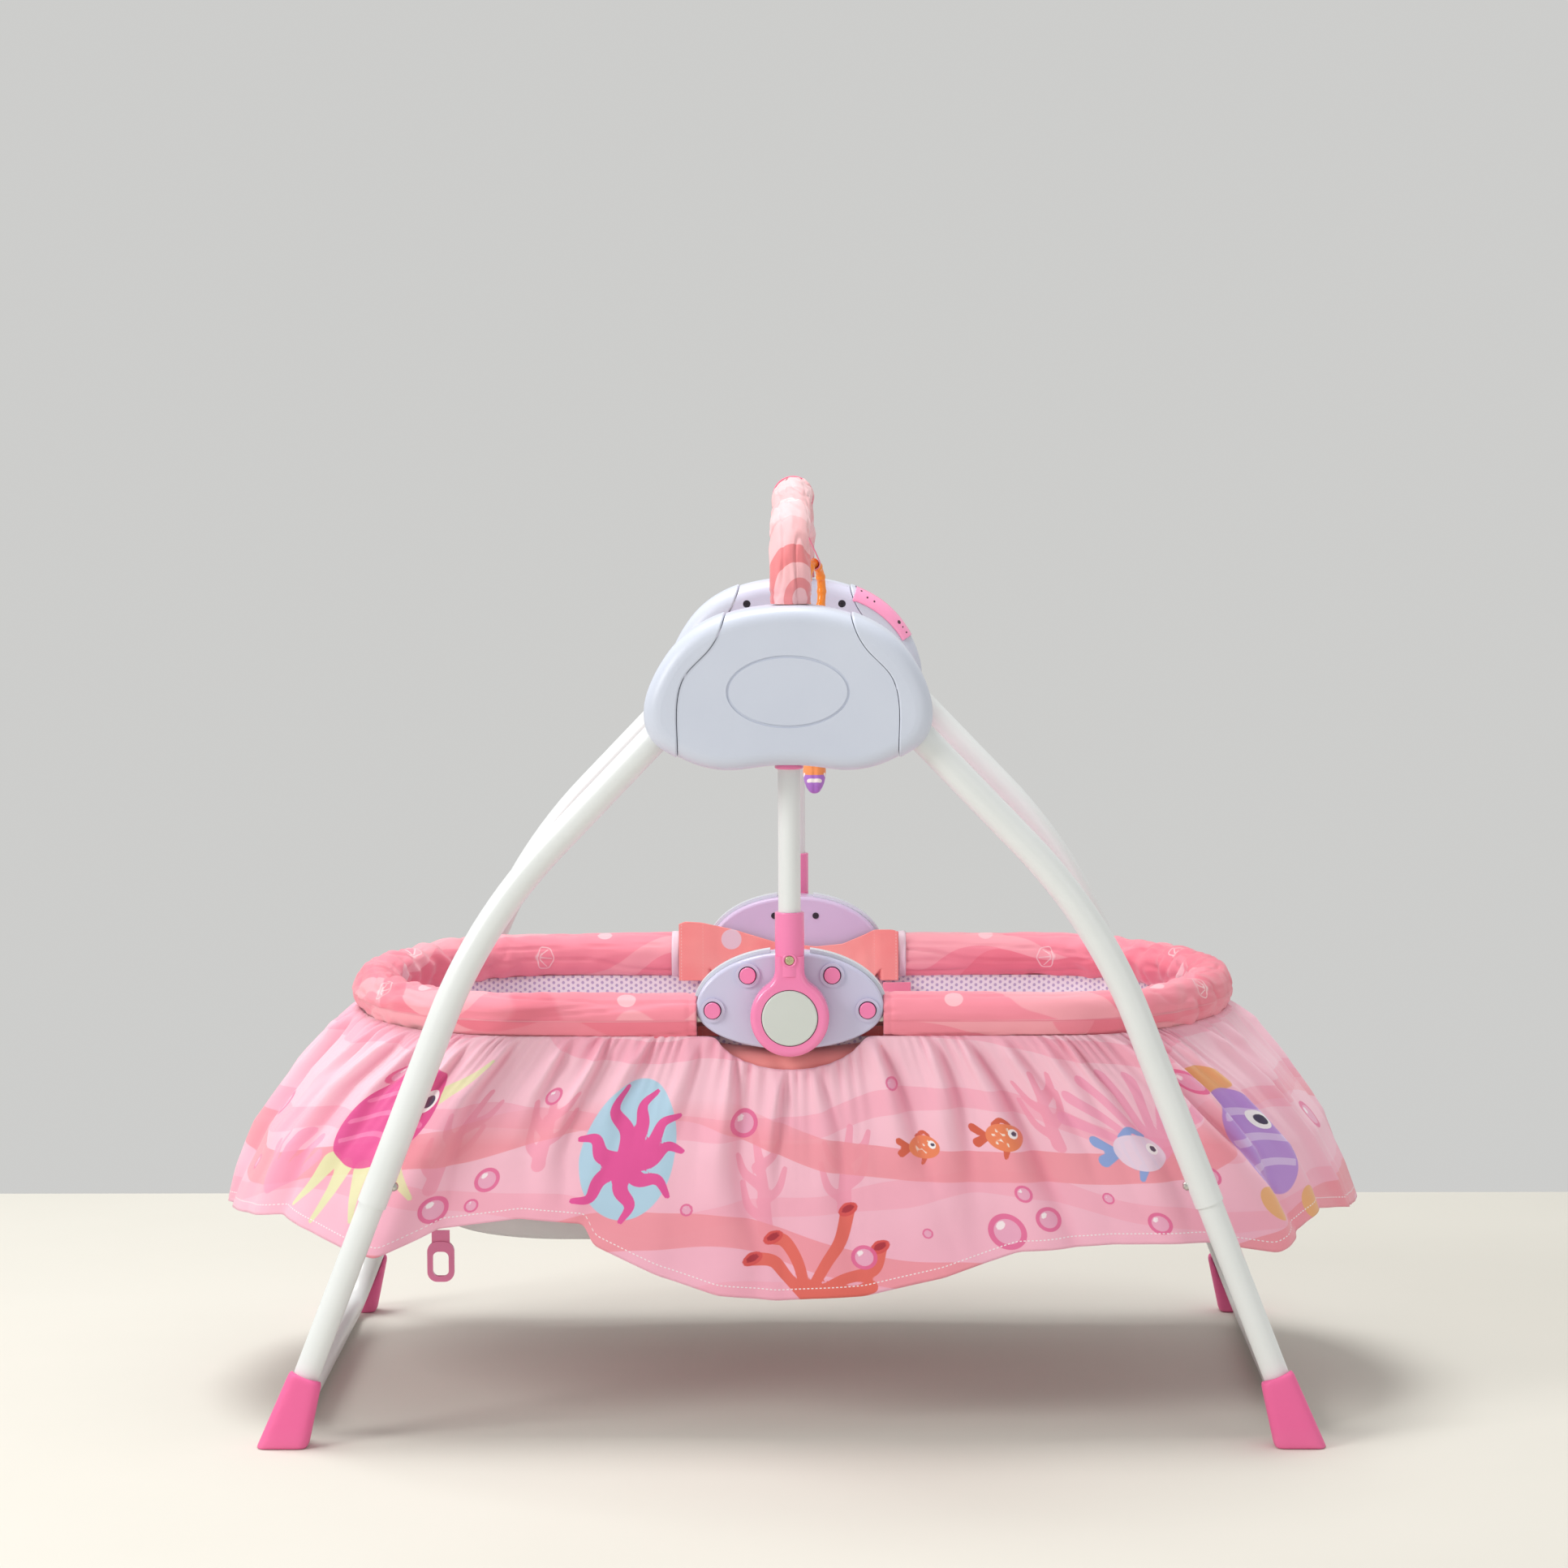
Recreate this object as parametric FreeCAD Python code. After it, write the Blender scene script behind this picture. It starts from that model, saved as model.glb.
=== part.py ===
"""Electric baby cradle swing: two tube A-frames with hub housings, two swing arms, a padded rim with a
fabric tub and a gathered skirt, and a lift-out toy bar.  Millimetres, +Z up, origin on the floor at the
centre."""
import FreeCAD
import Part
import math
import os

V = FreeCAD.Vector
X_AXIS, Y_AXIS, Z_AXIS = V(1, 0, 0), V(0, 1, 0), V(0, 0, 1)

# ---- legs and base tubes ------------------------------------------------------------------------
leg_plane_y = 272.0          # centre plane of each A-frame
leg_d = 25.0                 # upper leg tube
leg_wall = 1.2
slip_gap = 0.2               # radial gap of the base tube inside the leg
base_d = leg_d - 2 * leg_wall - 2 * slip_gap
base_wall = 1.2
upper_lean = 43.9            # degrees from vertical, above the bend
lower_lean = 21.2            # degrees from vertical, below the bend
leg_bend_r = 450.0
leg_knee = (260.7, 446.4)    # where the two straight stretches of a leg would cross
leg_upper_len = 258.0        # knee to the end inside the hub
leg_lower_len = 258.0        # knee to the open lower end
slip_depth = 45.0            # base tube inside the leg
bar_z = 13.0                 # height of the floor bar's axis
base_corner_r = 45.0

# ---- feet ---------------------------------------------------------------------------------------
foot_h = 60.0
foot_base_w, foot_top_w = 44.0, 29.0
foot_inner_y = leg_plane_y - 3.0
foot_depth, foot_top_depth = 28.0, 21.0
foot_corner_r = 8.0
foot_gap = 0.15

# ---- leg lock pins ------------------------------------------------------------------------------
pin_r = 4.0
pin_above_end = 21.0
pin_proud = 3.6
pin_travel = 3.2
pin_gap = 0.3
pin_head_r, pin_head_t = 5.6, 1.6

# ---- hubs ---------------------------------------------------------------------------------------
hub_in_y, hub_split_y, hub_out_y = 227.0, 265.0, 303.0
hub_wall = 2.5
hub_round = 13.0
hub_outline = [(0, 712), (54, 703.5), (87, 685), (111.5, 651.5), (119, 622), (113, 602), (96, 589),
               (70, 578),
               (45, 575.5), (20, 578.5)]
hub_notch_z = 579.5          # underside, midway between the two lobes
hub_outline_steps = 48
ear_curve = [(54, 730), (54.5, 698), (67, 675), (86, 654.5), (92.5, 632), (92.5, 602), (95, 570)]
ear_gap = 0.6
ear_lip_r = 1.4               # rounding of the leg sockets along their seam
same_place = 0.05             # points nearer than this are taken as one
ear_proud = 1.5              # how far the leg sockets stand out from the hub skin
badge_z = 641.6
badge_half_w, badge_half_h, badge_groove, badge_depth = 51.5, 30.3, 2.2, 1.1
hub_screw_at = [(-45, 689), (45, 689), (-55, 598), (55, 598)]
hub_screw_r, hub_screw_head_r, hub_boss_r = 1.6, 3.2, 4.6
hub_screw_sink = 1.2

# ---- swing axis ---------------------------------------------------------------------------------
axis_z = 648.0
shaft_r = 5.0
bush_r = 8.0
running_gap = 0.05
arm_y = 242.4
arm_d, arm_wall = 19.0, 1.2
hanger_r = 15.0
hanger_half_t = 9.0
swing_limit = 12.0           # degrees each way
arm_top_z = axis_z - hanger_r - 2.0
arm_plug_len = 40.0
collar_top_z, collar_t, collar_r = 577.0, 4.5, 12.2

# ---- drive and electronics, in the rear hub -----------------------------------------------------
magnet_size = (20.0, 11.0, 8.0)
magnet_z = 678.0
coil_r, coil_t, coil_air = 5.6, 8.0, 2.5
board_size = (76.0, 1.6, 60.0)
board_y = 288.0
speaker_r, speaker_t = 13.0, 6.0
speaker_at = (42.0, 290.5, 668.0)
jack_size = (11.0, 12.0, 13.0)
jack_at = (-38.0, 284.0)
jack_low_z = 574.8
jack_hole_r, jack_hole_len = 3.2, 9.0

# ---- control panel on the rear hub's shoulder ---------------------------------------------------
panel_from, panel_to = 0.20, 0.66     # share of the way along the shoulder arc
panel_in_y, panel_out_y = 247.0, 291.0
panel_t, panel_proud = 5.0, 2.5
panel_gap = 0.3
shoulder_centre, shoulder_r = (27.5, 609.0), 94.0
key_names = ("power_key", "music_key")
key_shares = (0.58, 0.36)
key_w, key_len, key_h, key_travel = 12.0, 20.0, 6.0, 1.2
key_gap = 0.4
grille_hole_r = 1.1
grille_count = 5
grille_pitch = 7.0
grille_edge = 8.0
grille_share, grille_step = 0.035, 0.018   # place along the shoulder arc, and its zigzag

# ---- arm socket and release cap -----------------------------------------------------------------
head_z = 361.3
head_r, head_t = 33.5, 22.0
neck_d = 24.8
socket_top_z = 451.0
neck_flare_r = 16.0
head_round = 5.0
cap_r, cap_t, cap_gap, cap_proud = 23.6, 7.0, 0.6, 1.2
cap_pocket = 11.0
cap_travel = 2.5
arm_screw_z = 410.7
arm_screw_r, arm_screw_head_r = 2.0, 3.9
tilt_pin_r = 9.0

# ---- side plates --------------------------------------------------------------------------------
plate_in_y, plate_out_y = 195.0, 229.0
plate_split_y = 212.0
plate_wall = 2.5
plate_z = 366.0
plate_half_w, plate_up, plate_down = 80.0, 48.0, 35.0
plate_round = 3.0
trim_proud, trim_t, trim_w = 3.0, 3.0, 13.0
trim_from_x = 17.0
button_at = [("upper_left", -36.0, 395.0), ("upper_right", 36.0, 395.0),
             ("lower_left", -66.0, 365.0), ("lower_right", 66.0, 365.0)]
button_r, button_len, button_proud, button_travel = 6.9, 11.0, 5.0, 3.0
button_gap = 0.8
boss_r, boss_proud = 10.4, 2.0
plate_screw_x, plate_screw_z, plate_screw_r = (-19.5, 19.5), 396.0, 3.0

# ---- rim, pad, tub and skirt --------------------------------------------------------------------
rim_z = 357.0
rim_tube_d, rim_wall = 16.0, 1.2
rim_half_len = 375.0
rim_corner_r, rim_end_r = 135.0, 270.0
rim_end_inside_x = 52.0      # where the rim tube stops inside the plate
pad_r = 21.0
pad_gap = 0.4
pad_start_x = 88.0
soft_gap = 1.5
tub_wall = 3.0
tub_top = (368.0, 204.0)     # half length, half width
tub_floor = (322.0, 150.0)
tub_floor_z = 150.0
mattress_t = 24.0
mattress_size = (305.0, 132.0)
skirt_t = 2.4
skirt_sections = [(334.0, 386.0, 215.5), (292.0, 436.0, 232.0), (240.0, 478.0, 245.0), (112.0, 520.0, 256.0)]
hem_line = [(-530, 158), (-440, 180), (-345, 152), (-300, 180), (-233, 189), (-175, 178), (-110, 140),
            (-10, 118),
            (125, 138), (190, 160), (350, 166), (400, 154), (455, 180), (530, 158)]
plate_bay = (94.0, 52.0)     # half width and depth of the fabric's dip below a side plate
oval_corner_share, oval_end_share = 0.36, 0.72   # corner and end radius as shares of the half length

# ---- toy bar and toy ----------------------------------------------------------------------------
toy_bar_y = 256.0
toy_bar_d = 11.0
toy_bar_top_z = 796.0
toy_bar_corner_r = 60.0
toy_bar_bend_z = 716.0       # straight up to here
toy_bar_foot_z = 668.0
toy_sleeve_r = 16.0
toy_sleeve_from_z = 716.5
toy_socket_wall, toy_socket_gap, toy_socket_floor = 1.5, 0.3, 2.0
toy_x = 20.0
toy_ring_r, toy_ring_wire_r = 26.0, 4.2
toy_ring_z = 710.0
toy_loop_w, toy_loop_t = 12.0, 1.6
toy_body = (17.0, 27.0, 36.0)
toy_body_z = 598.0
toy_tail_len = 34.0
toy_cord_r = 1.5

# ---- strap loop under the tub -------------------------------------------------------------------
strap_x, strap_y = -312.0, -92.0
strap_loop_w, strap_loop_h, strap_loop_t = 24.0, 32.0, 5.0
strap_len = 14.0

parts = {}


def box(low, high):
    """Box between two corners."""
    return Part.makeBox(high[0] - low[0], high[1] - low[1], high[2] - low[2], V(*low))


def cyl(r, start, along, length):
    """Cylinder from start, along a direction."""
    return Part.makeCylinder(r, length, V(*start), along)


def mirrored(shape):
    """The same piece on the front frame."""
    return shape.mirror(V(0, 0, 0), Y_AXIS)


def rounded_path(points, radii):
    """Wire of straight runs joined by tangent arcs."""
    edges, start = [], points[0]
    for i in range(1, len(points) - 1):
        corner, r = points[i], radii[i - 1]
        back = (points[i - 1] - corner).normalize()
        ahead = (points[i + 1] - corner).normalize()
        turn = math.pi - back.getAngle(ahead)
        reach = r * math.tan(turn / 2)
        a, b = corner + back * reach, corner + ahead * reach
        inward = (back + ahead).normalize()
        mid = corner + inward * (r / math.cos(turn / 2) - r)
        if (a - start).Length > 1e-6:
            edges.append(Part.LineSegment(start, a).toShape())
        edges.append(Part.Arc(a, mid, b).toShape())
        start = b
    edges.append(Part.LineSegment(start, points[-1]).toShape())
    return Part.Wire(edges)


def swept(path, r):
    """Round bar along a wire."""
    edge = path.OrderedEdges[0]
    start, along = edge.valueAt(edge.FirstParameter), edge.tangentAt(edge.FirstParameter)
    ring = Part.Wire(Part.makeCircle(r, start, along))
    return path.makePipeShell([ring], True, False)


def tube(path, r, wall):
    """Hollow tube along a wire."""
    return swept(path, r).cut(swept(path, r - wall))


def prism(wire, y0, y1):
    """Solid between two planes of constant y, from a closed wire drawn at y = 0."""
    face = Part.Face(wire)
    face.translate(V(0, y0, 0))
    return face.extrude(V(0, y1 - y0, 0))


def polygon_xz(points):
    """Closed wire in the XZ plane."""
    corners = [V(x, 0, z) for x, z in points]
    return Part.makePolygon(corners + [corners[0]])


def solid_of(shape):
    """The largest solid of a cut, without crumbs."""
    return max(shape.Solids, key=lambda s: s.Volume)


# ---- legs ---------------------------------------------------------------------------------------
def lean_down(side, degrees_out):
    """Unit vector down a leg."""
    a = math.radians(degrees_out)
    return V(side * math.sin(a), 0, -math.cos(a))


def knee(side, y):
    return V(side * leg_knee[0], y, leg_knee[1])


def leg_end(side, y):
    """Centre of a leg's open lower end."""
    return knee(side, y) + lean_down(side, lower_lean) * leg_lower_len


def leg_top(side, y):
    return knee(side, y) - lean_down(side, upper_lean) * leg_upper_len


def base_corner(side, y):
    """Where a lower leg's axis meets the floor bar's axis."""
    drop = (leg_knee[1] - bar_z) / math.cos(math.radians(lower_lean))
    return knee(side, y) + lean_down(side, lower_lean) * drop


def leg_path(side, y):
    return rounded_path([leg_top(side, y), knee(side, y), leg_end(side, y)], [leg_bend_r])


def base_path(side):
    down = lean_down(side, lower_lean)
    rear, front = leg_plane_y, -leg_plane_y
    ends = [leg_end(side, y) - down * slip_depth for y in (rear, front)]
    corners = [base_corner(side, y) for y in (rear, front)]
    return rounded_path([ends[0], corners[0], corners[1], ends[1]], [base_corner_r] * 2)


def pin_place(side, y):
    """Centre of a lock pin on the leg's axis, and the direction it points."""
    down = lean_down(side, lower_lean)
    inward = V(-side * math.cos(math.radians(lower_lean)), 0, -math.sin(math.radians(lower_lean)))
    return leg_end(side, y) - down * pin_above_end, inward


def lock_pin(side, y):
    """Domed pin with a flange that stays inside the base tube."""
    centre, out = pin_place(side, y)
    flange_at = math.sqrt((base_d / 2 - base_wall - 0.3) ** 2 - pin_head_r ** 2) - pin_head_t
    straight = leg_d / 2 + pin_proud - pin_r * 0.55
    pin = cyl(pin_r, centre + out * flange_at, out, straight - flange_at)
    dome = Part.makeSphere(pin_r, centre + out * (straight - pin_r * 0.45))
    dome = dome.common(cyl(pin_r, centre + out * straight, out, pin_r))
    flange = cyl(pin_head_r, centre + out * flange_at, out, pin_head_t)
    clip = cyl(pin_r * 0.6, centre - out * 1.0, out, flange_at + 1.0)
    return pin.fuse([dome, flange, clip]).removeSplitter()


def make_legs():
    for row, y in (("front", -leg_plane_y), ("rear", leg_plane_y)):
        for name, side in (("left", -1), ("right", 1)):
            leg = tube(leg_path(side, y), leg_d / 2, leg_wall)
            centre, out = pin_place(side, y)
            leg = leg.cut(cyl(pin_r + pin_gap, centre, out, leg_d))
            parts[f"{row}_{name}_leg"] = leg
            parts[f"{row}_{name}_lock_pin"] = lock_pin(side, y)
    for name, side in (("left", -1), ("right", 1)):
        base = tube(base_path(side), base_d / 2, base_wall)
        for y in (-leg_plane_y, leg_plane_y):
            centre, out = pin_place(side, y)
            base = base.cut(cyl(pin_r + pin_gap, centre, out, leg_d))
        parts[f"{name}_base_tube"] = base


def rounded_rect(centre, u, v, half_u, v0, v1, r):
    """Closed wire: a rectangle with round corners, spanned by two unit vectors."""
    def at(a, b):
        return centre + u * a + v * b
    edges = []
    h = half_u
    k = r * (1 - math.sqrt(0.5))
    edges.append(Part.LineSegment(at(-h + r, v0), at(h - r, v0)).toShape())
    edges.append(Part.Arc(at(h - r, v0), at(h - k, v0 + k), at(h, v0 + r)).toShape())
    edges.append(Part.LineSegment(at(h, v0 + r), at(h, v1 - r)).toShape())
    edges.append(Part.Arc(at(h, v1 - r), at(h - k, v1 - k), at(h - r, v1)).toShape())
    edges.append(Part.LineSegment(at(h - r, v1), at(-h + r, v1)).toShape())
    edges.append(Part.Arc(at(-h + r, v1), at(-h + k, v1 - k), at(-h, v1 - r)).toShape())
    edges.append(Part.LineSegment(at(-h, v1 - r), at(-h, v0 + r)).toShape())
    edges.append(Part.Arc(at(-h, v0 + r), at(-h + k, v0 + k), at(-h + r, v0)).toShape())
    return Part.Wire(edges)


def foot(side):
    """Moulded boot on the outside of a base tube's rear corner."""
    down = lean_down(side, lower_lean)
    to_top = (leg_knee[1] - foot_h) / math.cos(math.radians(lower_lean))
    top_centre = knee(side, 0) + down * to_top
    across = V(math.cos(math.radians(lower_lean)), 0, side * math.sin(math.radians(lower_lean)))
    base_centre = V(base_corner(side, 0).x + side * 2.0, 0, 0)
    r = foot_corner_r
    base_wire = rounded_rect(base_centre, X_AXIS, Y_AXIS, foot_base_w / 2,
                             foot_inner_y, foot_inner_y + foot_depth, r)
    top_wire = rounded_rect(top_centre, across, Y_AXIS, foot_top_w / 2,
                            foot_inner_y, foot_inner_y + foot_top_depth, r)
    boot = Part.makeLoft([base_wire, top_wire], True, True)
    hole = swept(base_path(side), base_d / 2 + foot_gap)
    return solid_of(boot.cut(hole))


def make_feet():
    rear = [foot(-1), foot(1)]
    parts["feet"] = Part.makeCompound(rear + [mirrored(f) for f in rear])


# ---- hub housings -------------------------------------------------------------------------------
def hub_wire(inset):
    """The hub's outline, moved inward by an inset."""
    right = [V(x, 0, z) for x, z in hub_outline]
    left = [V(-x, 0, z) for x, z in reversed(hub_outline[1:-1])]
    curve = Part.BSplineCurve()
    curve.interpolate(Points=right + [V(0, 0, hub_notch_z)] + [V(-right[-1].x, 0, right[-1].z)] + left,
                      PeriodicFlag=True)
    if inset:
        span = curve.LastParameter - curve.FirstParameter
        at = [curve.FirstParameter + span * k / hub_outline_steps for k in range(hub_outline_steps)]
        points = []
        for u in at:
            along = curve.tangent(u)[0]
            points.append(curve.value(u) + V(-along.z, 0, along.x) * -inset)
        curve = Part.BSplineCurve()
        curve.interpolate(Points=points, PeriodicFlag=True)
    return Part.Wire(curve.toShape())


def hub_block(inset):
    """The hub's outer form, or the space inside it when inset by the wall."""
    wire = hub_wire(inset)
    block = prism(wire, hub_in_y + inset, hub_out_y - inset)
    rims = [e for e in block.Edges if abs(e.BoundBox.YLength) < 1e-3]
    return block.makeFillet(hub_round - inset, rims)


def ear_seam(shift):
    """Seam between the hub cover and the +X leg socket, and its points."""
    points = [V(x + shift, 0, z) for x, z in ear_curve]
    curve = Part.BSplineCurve()
    curve.interpolate(Points=points)
    return curve, points


def ear_region(shift):
    """Everything outboard of the ear seam on the +X side."""
    curve, points = ear_seam(shift)
    first, last = points[0], points[-1]
    far = 200
    rest = Part.makePolygon([last, V(far, 0, last.z), V(far, 0, first.z), first])
    wire = Part.Wire([curve.toShape()] + rest.Edges)
    return prism(wire, 0, 400)


def both_sides(shape):
    return shape.fuse(shape.mirror(V(0, 0, 0), X_AXIS))


def leg_bar(side, r):
    """Solid round bar along the straight upper end of a rear leg."""
    top = leg_top(side, leg_plane_y)
    return cyl(r, top, lean_down(side, upper_lean), leg_upper_len * 0.6)


def screw_holes(shell, y0, y1, r):
    for x, z in hub_screw_at:
        shell = shell.cut(cyl(r, (x, y0, z), Y_AXIS, y1 - y0))
    return shell


def ear_skin(outer, inner):
    """Cheek of the +X leg socket, with a lip rounded along its seam."""
    skin = outer.cut(inner).common(ear_region(0))
    seam = ear_seam(0)[0].toShape()
    lip = []
    for e in skin.Edges:
        m = e.valueAt((e.FirstParameter + e.LastParameter) / 2)
        on_seam = seam.distToShape(Part.Vertex(V(m.x, 0, m.z)))[0] < same_place
        if on_seam and outer.Shells[0].distToShape(Part.Vertex(m))[0] < same_place:
            lip.append(e)
    return skin.makeFillet(ear_lip_r, lip)


def ear(side, outer, inner):
    """Leg socket: the hub's end cheek with a sleeve that holds the leg."""
    skin = ear_skin(outer, inner)
    if side < 0:
        skin = skin.mirror(V(0, 0, 0), X_AXIS)
    sleeve = leg_bar(side, leg_d / 2 + 2.5).common(outer)
    piece = solid_of(skin.fuse(sleeve)).cut(leg_bar(side, leg_d / 2 + 0.1))
    return solid_of(piece)


def hub_covers():
    """Rear hub: outer cover, inner cover and the two leg sockets."""
    outer, inner = hub_block(0), hub_block(hub_wall)
    centre_shell = outer.cut(inner).cut(both_sides(ear_region(-ear_gap)))
    for side in (-1, 1):
        centre_shell = centre_shell.cut(leg_bar(side, leg_d / 2 + 2.5 + ear_gap))
    reach = 150
    lower_half = box((-reach, 0, 500), (reach, hub_split_y, 800))
    cover = solid_of(centre_shell.cut(lower_half))
    back = solid_of(centre_shell.common(lower_half))

    bosses = [cyl(hub_boss_r, (x, hub_split_y, z), Y_AXIS, hub_out_y - hub_wall - hub_split_y)
              for x, z in hub_screw_at]
    shaft_boss = cyl(shaft_r + 4, (0, hub_split_y - 10, axis_z), Y_AXIS,
                     hub_out_y - hub_wall - hub_split_y + 10)
    socket_r = toy_bar_d / 2 + toy_socket_gap + toy_socket_wall
    socket_low = toy_bar_foot_z - toy_socket_floor
    socket = cyl(socket_r, (0, toy_bar_y, socket_low), Z_AXIS, 60).common(outer)
    shaft_hole = cyl(shaft_r + running_gap, (0, 0, axis_z), Y_AXIS, hub_out_y - hub_wall)
    cover = cover.fuse(bosses + [shaft_boss]).cut(shaft_hole)
    cover = screw_holes(cover, hub_split_y - 1, hub_split_y + 22, hub_screw_r)
    groove_outer = Part.Wire(Part.Ellipse(V(0, 0, badge_z), badge_half_w, badge_half_h).toShape())
    groove_inner = Part.Wire(Part.Ellipse(V(0, 0, badge_z), badge_half_w - badge_groove,
                                          badge_half_h - badge_groove).toShape())
    turned = []
    for wire in (groove_outer, groove_inner):
        wire.rotate(V(0, 0, badge_z), X_AXIS, 90)
        turned.append(prism(wire, hub_out_y - badge_depth, hub_out_y + 1))
    cover = solid_of(cover.cut(turned[0].cut(turned[1])))

    posts = [cyl(hub_boss_r, (x, hub_in_y + hub_wall, z), Y_AXIS, hub_split_y - hub_in_y - hub_wall)
             for x, z in hub_screw_at]
    ring = cyl(shaft_r + 4, (0, hub_in_y + 1, axis_z), Y_AXIS, hub_wall)
    back = back.fuse(posts + [ring, socket])
    back = back.cut(cyl(shaft_r + running_gap, (0, hub_in_y + hub_wall, axis_z), Y_AXIS,
                        hub_out_y - hub_in_y))
    back = screw_holes(back, hub_in_y - 1, hub_in_y + 3.4, hub_screw_head_r + 0.4)
    back = screw_holes(back, hub_in_y, hub_split_y + 1, hub_screw_r + 0.3)
    back = back.cut(cyl(toy_bar_d / 2 + toy_socket_gap, (0, toy_bar_y, toy_bar_foot_z), Z_AXIS, 80))
    slot_half = (axis_z - 576) * math.tan(math.radians(swing_limit)) + arm_d / 2 + 4
    slot = box((-slot_half, hub_in_y + hub_wall + 0.8, 560), (slot_half, arm_y + arm_d / 2 + 3, 603))
    back = solid_of(back.cut(slot))
    cover = solid_of(cover.cut(cyl(socket_r + 0.3, (0, toy_bar_y, socket_low - 0.3), Z_AXIS, 80)))
    ears = [ear(side, hub_block(-ear_proud), inner) for side in (-1, 1)]
    return cover, back, ears


def hub_screws():
    """Self-tapping screws that close one hub."""
    found = []
    for x, z in hub_screw_at:
        head_y = hub_in_y + hub_screw_sink
        head = cyl(hub_screw_head_r, (x, head_y, z), Y_AXIS, 2.0)
        shank = cyl(hub_screw_r, (x, head_y + 2.0, z), Y_AXIS, hub_split_y - head_y + 18)
        cross = box((x - 2, head_y - 1, z - 0.4), (x + 2, head_y + 1, z + 0.4))
        cross2 = box((x - 0.4, head_y - 1, z - 2), (x + 0.4, head_y + 1, z + 2))
        found.append(head.fuse(shank).cut(cross).cut(cross2))
    return found


# ---- control panel ------------------------------------------------------------------------------
def shoulder_angle(share):
    """Angle about the shoulder's centre, from straight up to straight out."""
    return math.radians(90 - 90 * share)


def shoulder_point(share, r):
    a = shoulder_angle(share)
    return V(shoulder_centre[0] + r * math.cos(a), 0, shoulder_centre[1] + r * math.sin(a))


def shoulder_band(share0, share1, r0, r1, y0, y1):
    """Curved block that follows the hub's shoulder."""
    mid = (share0 + share1) / 2
    a0, a1, am = shoulder_point(share0, r1), shoulder_point(share1, r1), shoulder_point(mid, r1)
    b0, b1, bm = shoulder_point(share0, r0), shoulder_point(share1, r0), shoulder_point(mid, r0)
    wire = Part.Wire([Part.Arc(a0, am, a1).toShape(), Part.LineSegment(a1, b1).toShape(),
                      Part.Arc(b1, bm, b0).toShape(), Part.LineSegment(b0, a0).toShape()])
    return prism(wire, y0, y1)


def panel_key(share, gap):
    """Push key that follows the shoulder, or its opening when grown by a gap."""
    half = math.degrees((key_len / 2 + gap) / shoulder_r) / 90
    mid_y = (panel_in_y + panel_out_y) / 2
    low = shoulder_r + panel_proud - panel_t - key_travel - 1.0 - (10 if gap else 0)
    high = shoulder_r + panel_proud + key_h - panel_t + (5 if gap else 0)
    return shoulder_band(share - half, share + half, low, high,
                         mid_y - key_w / 2 - gap, mid_y + key_w / 2 + gap)


def control_panel():
    r1 = shoulder_r + panel_proud
    panel = shoulder_band(panel_from, panel_to, r1 - panel_t, r1, panel_in_y, panel_out_y)
    corners = [e for e in panel.Edges
               if e.BoundBox.YLength < 1e-3 and e.BoundBox.DiagonalLength < panel_t + 1]
    panel = panel.makeFillet(2.0, corners)
    for share in key_shares:
        panel = panel.cut(panel_key(share, key_gap))
    for k in range(grille_count):
        share = panel_from + grille_share + grille_step * (k % 2)
        hole_start = shoulder_point(share, r1 - panel_t - 1)
        hole_start.y = panel_in_y + grille_edge + grille_pitch * k
        outward = shoulder_point(share, 2) - shoulder_point(share, 1)
        panel = panel.cut(cyl(grille_hole_r, hole_start, outward, panel_t + 3))
    return panel


def make_hubs():
    cover, back, ears = hub_covers()
    parts["front_hub_cover"] = mirrored(cover)
    parts["front_hub_back"] = mirrored(back)
    r1 = shoulder_r + panel_proud
    bed = shoulder_band(panel_from - 0.004, panel_to + 0.004, r1 - panel_t - key_travel - 1.5, r1 + 5,
                        panel_in_y - panel_gap, panel_out_y + panel_gap)
    jack_x, jack_y = jack_at
    jack = box((jack_x - jack_size[0] / 2, jack_y - jack_size[1] / 2, jack_low_z),
               (jack_x + jack_size[0] / 2, jack_y + jack_size[1] / 2, jack_low_z + jack_size[2]))
    cover = solid_of(cover.cut(jack).cut(bed))
    parts["rear_hub_cover"] = cover
    parts["rear_hub_back"] = solid_of(back.cut(bed))
    rear_ears = [ears[0], solid_of(ears[1].cut(bed))]
    parts["leg_sockets"] = Part.makeCompound([mirrored(e) for e in ears] + rear_ears)
    parts["dc_jack"] = jack.cut(cyl(jack_hole_r, (jack_x, jack_y, jack_low_z), Z_AXIS, jack_hole_len))
    parts["control_panel"] = control_panel()
    for name, share in zip(key_names, key_shares):
        parts[name] = panel_key(share, 0)
    rear_screws = hub_screws()
    parts["hub_screws"] = Part.makeCompound(rear_screws + [mirrored(s) for s in rear_screws])


# ---- swing axis and arms ------------------------------------------------------------------------
def pivot_shaft():
    length = hub_out_y - hub_in_y - 2 * hub_wall - 0.2
    return cyl(shaft_r, (0, hub_in_y + hub_wall + 0.1, axis_z), Y_AXIS, length)


def pivot_bush():
    body = cyl(bush_r, (0, arm_y - hanger_half_t, axis_z), Y_AXIS, 2 * hanger_half_t)
    return body.cut(cyl(shaft_r + running_gap, (0, arm_y - 30, axis_z), Y_AXIS, 60))


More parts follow.
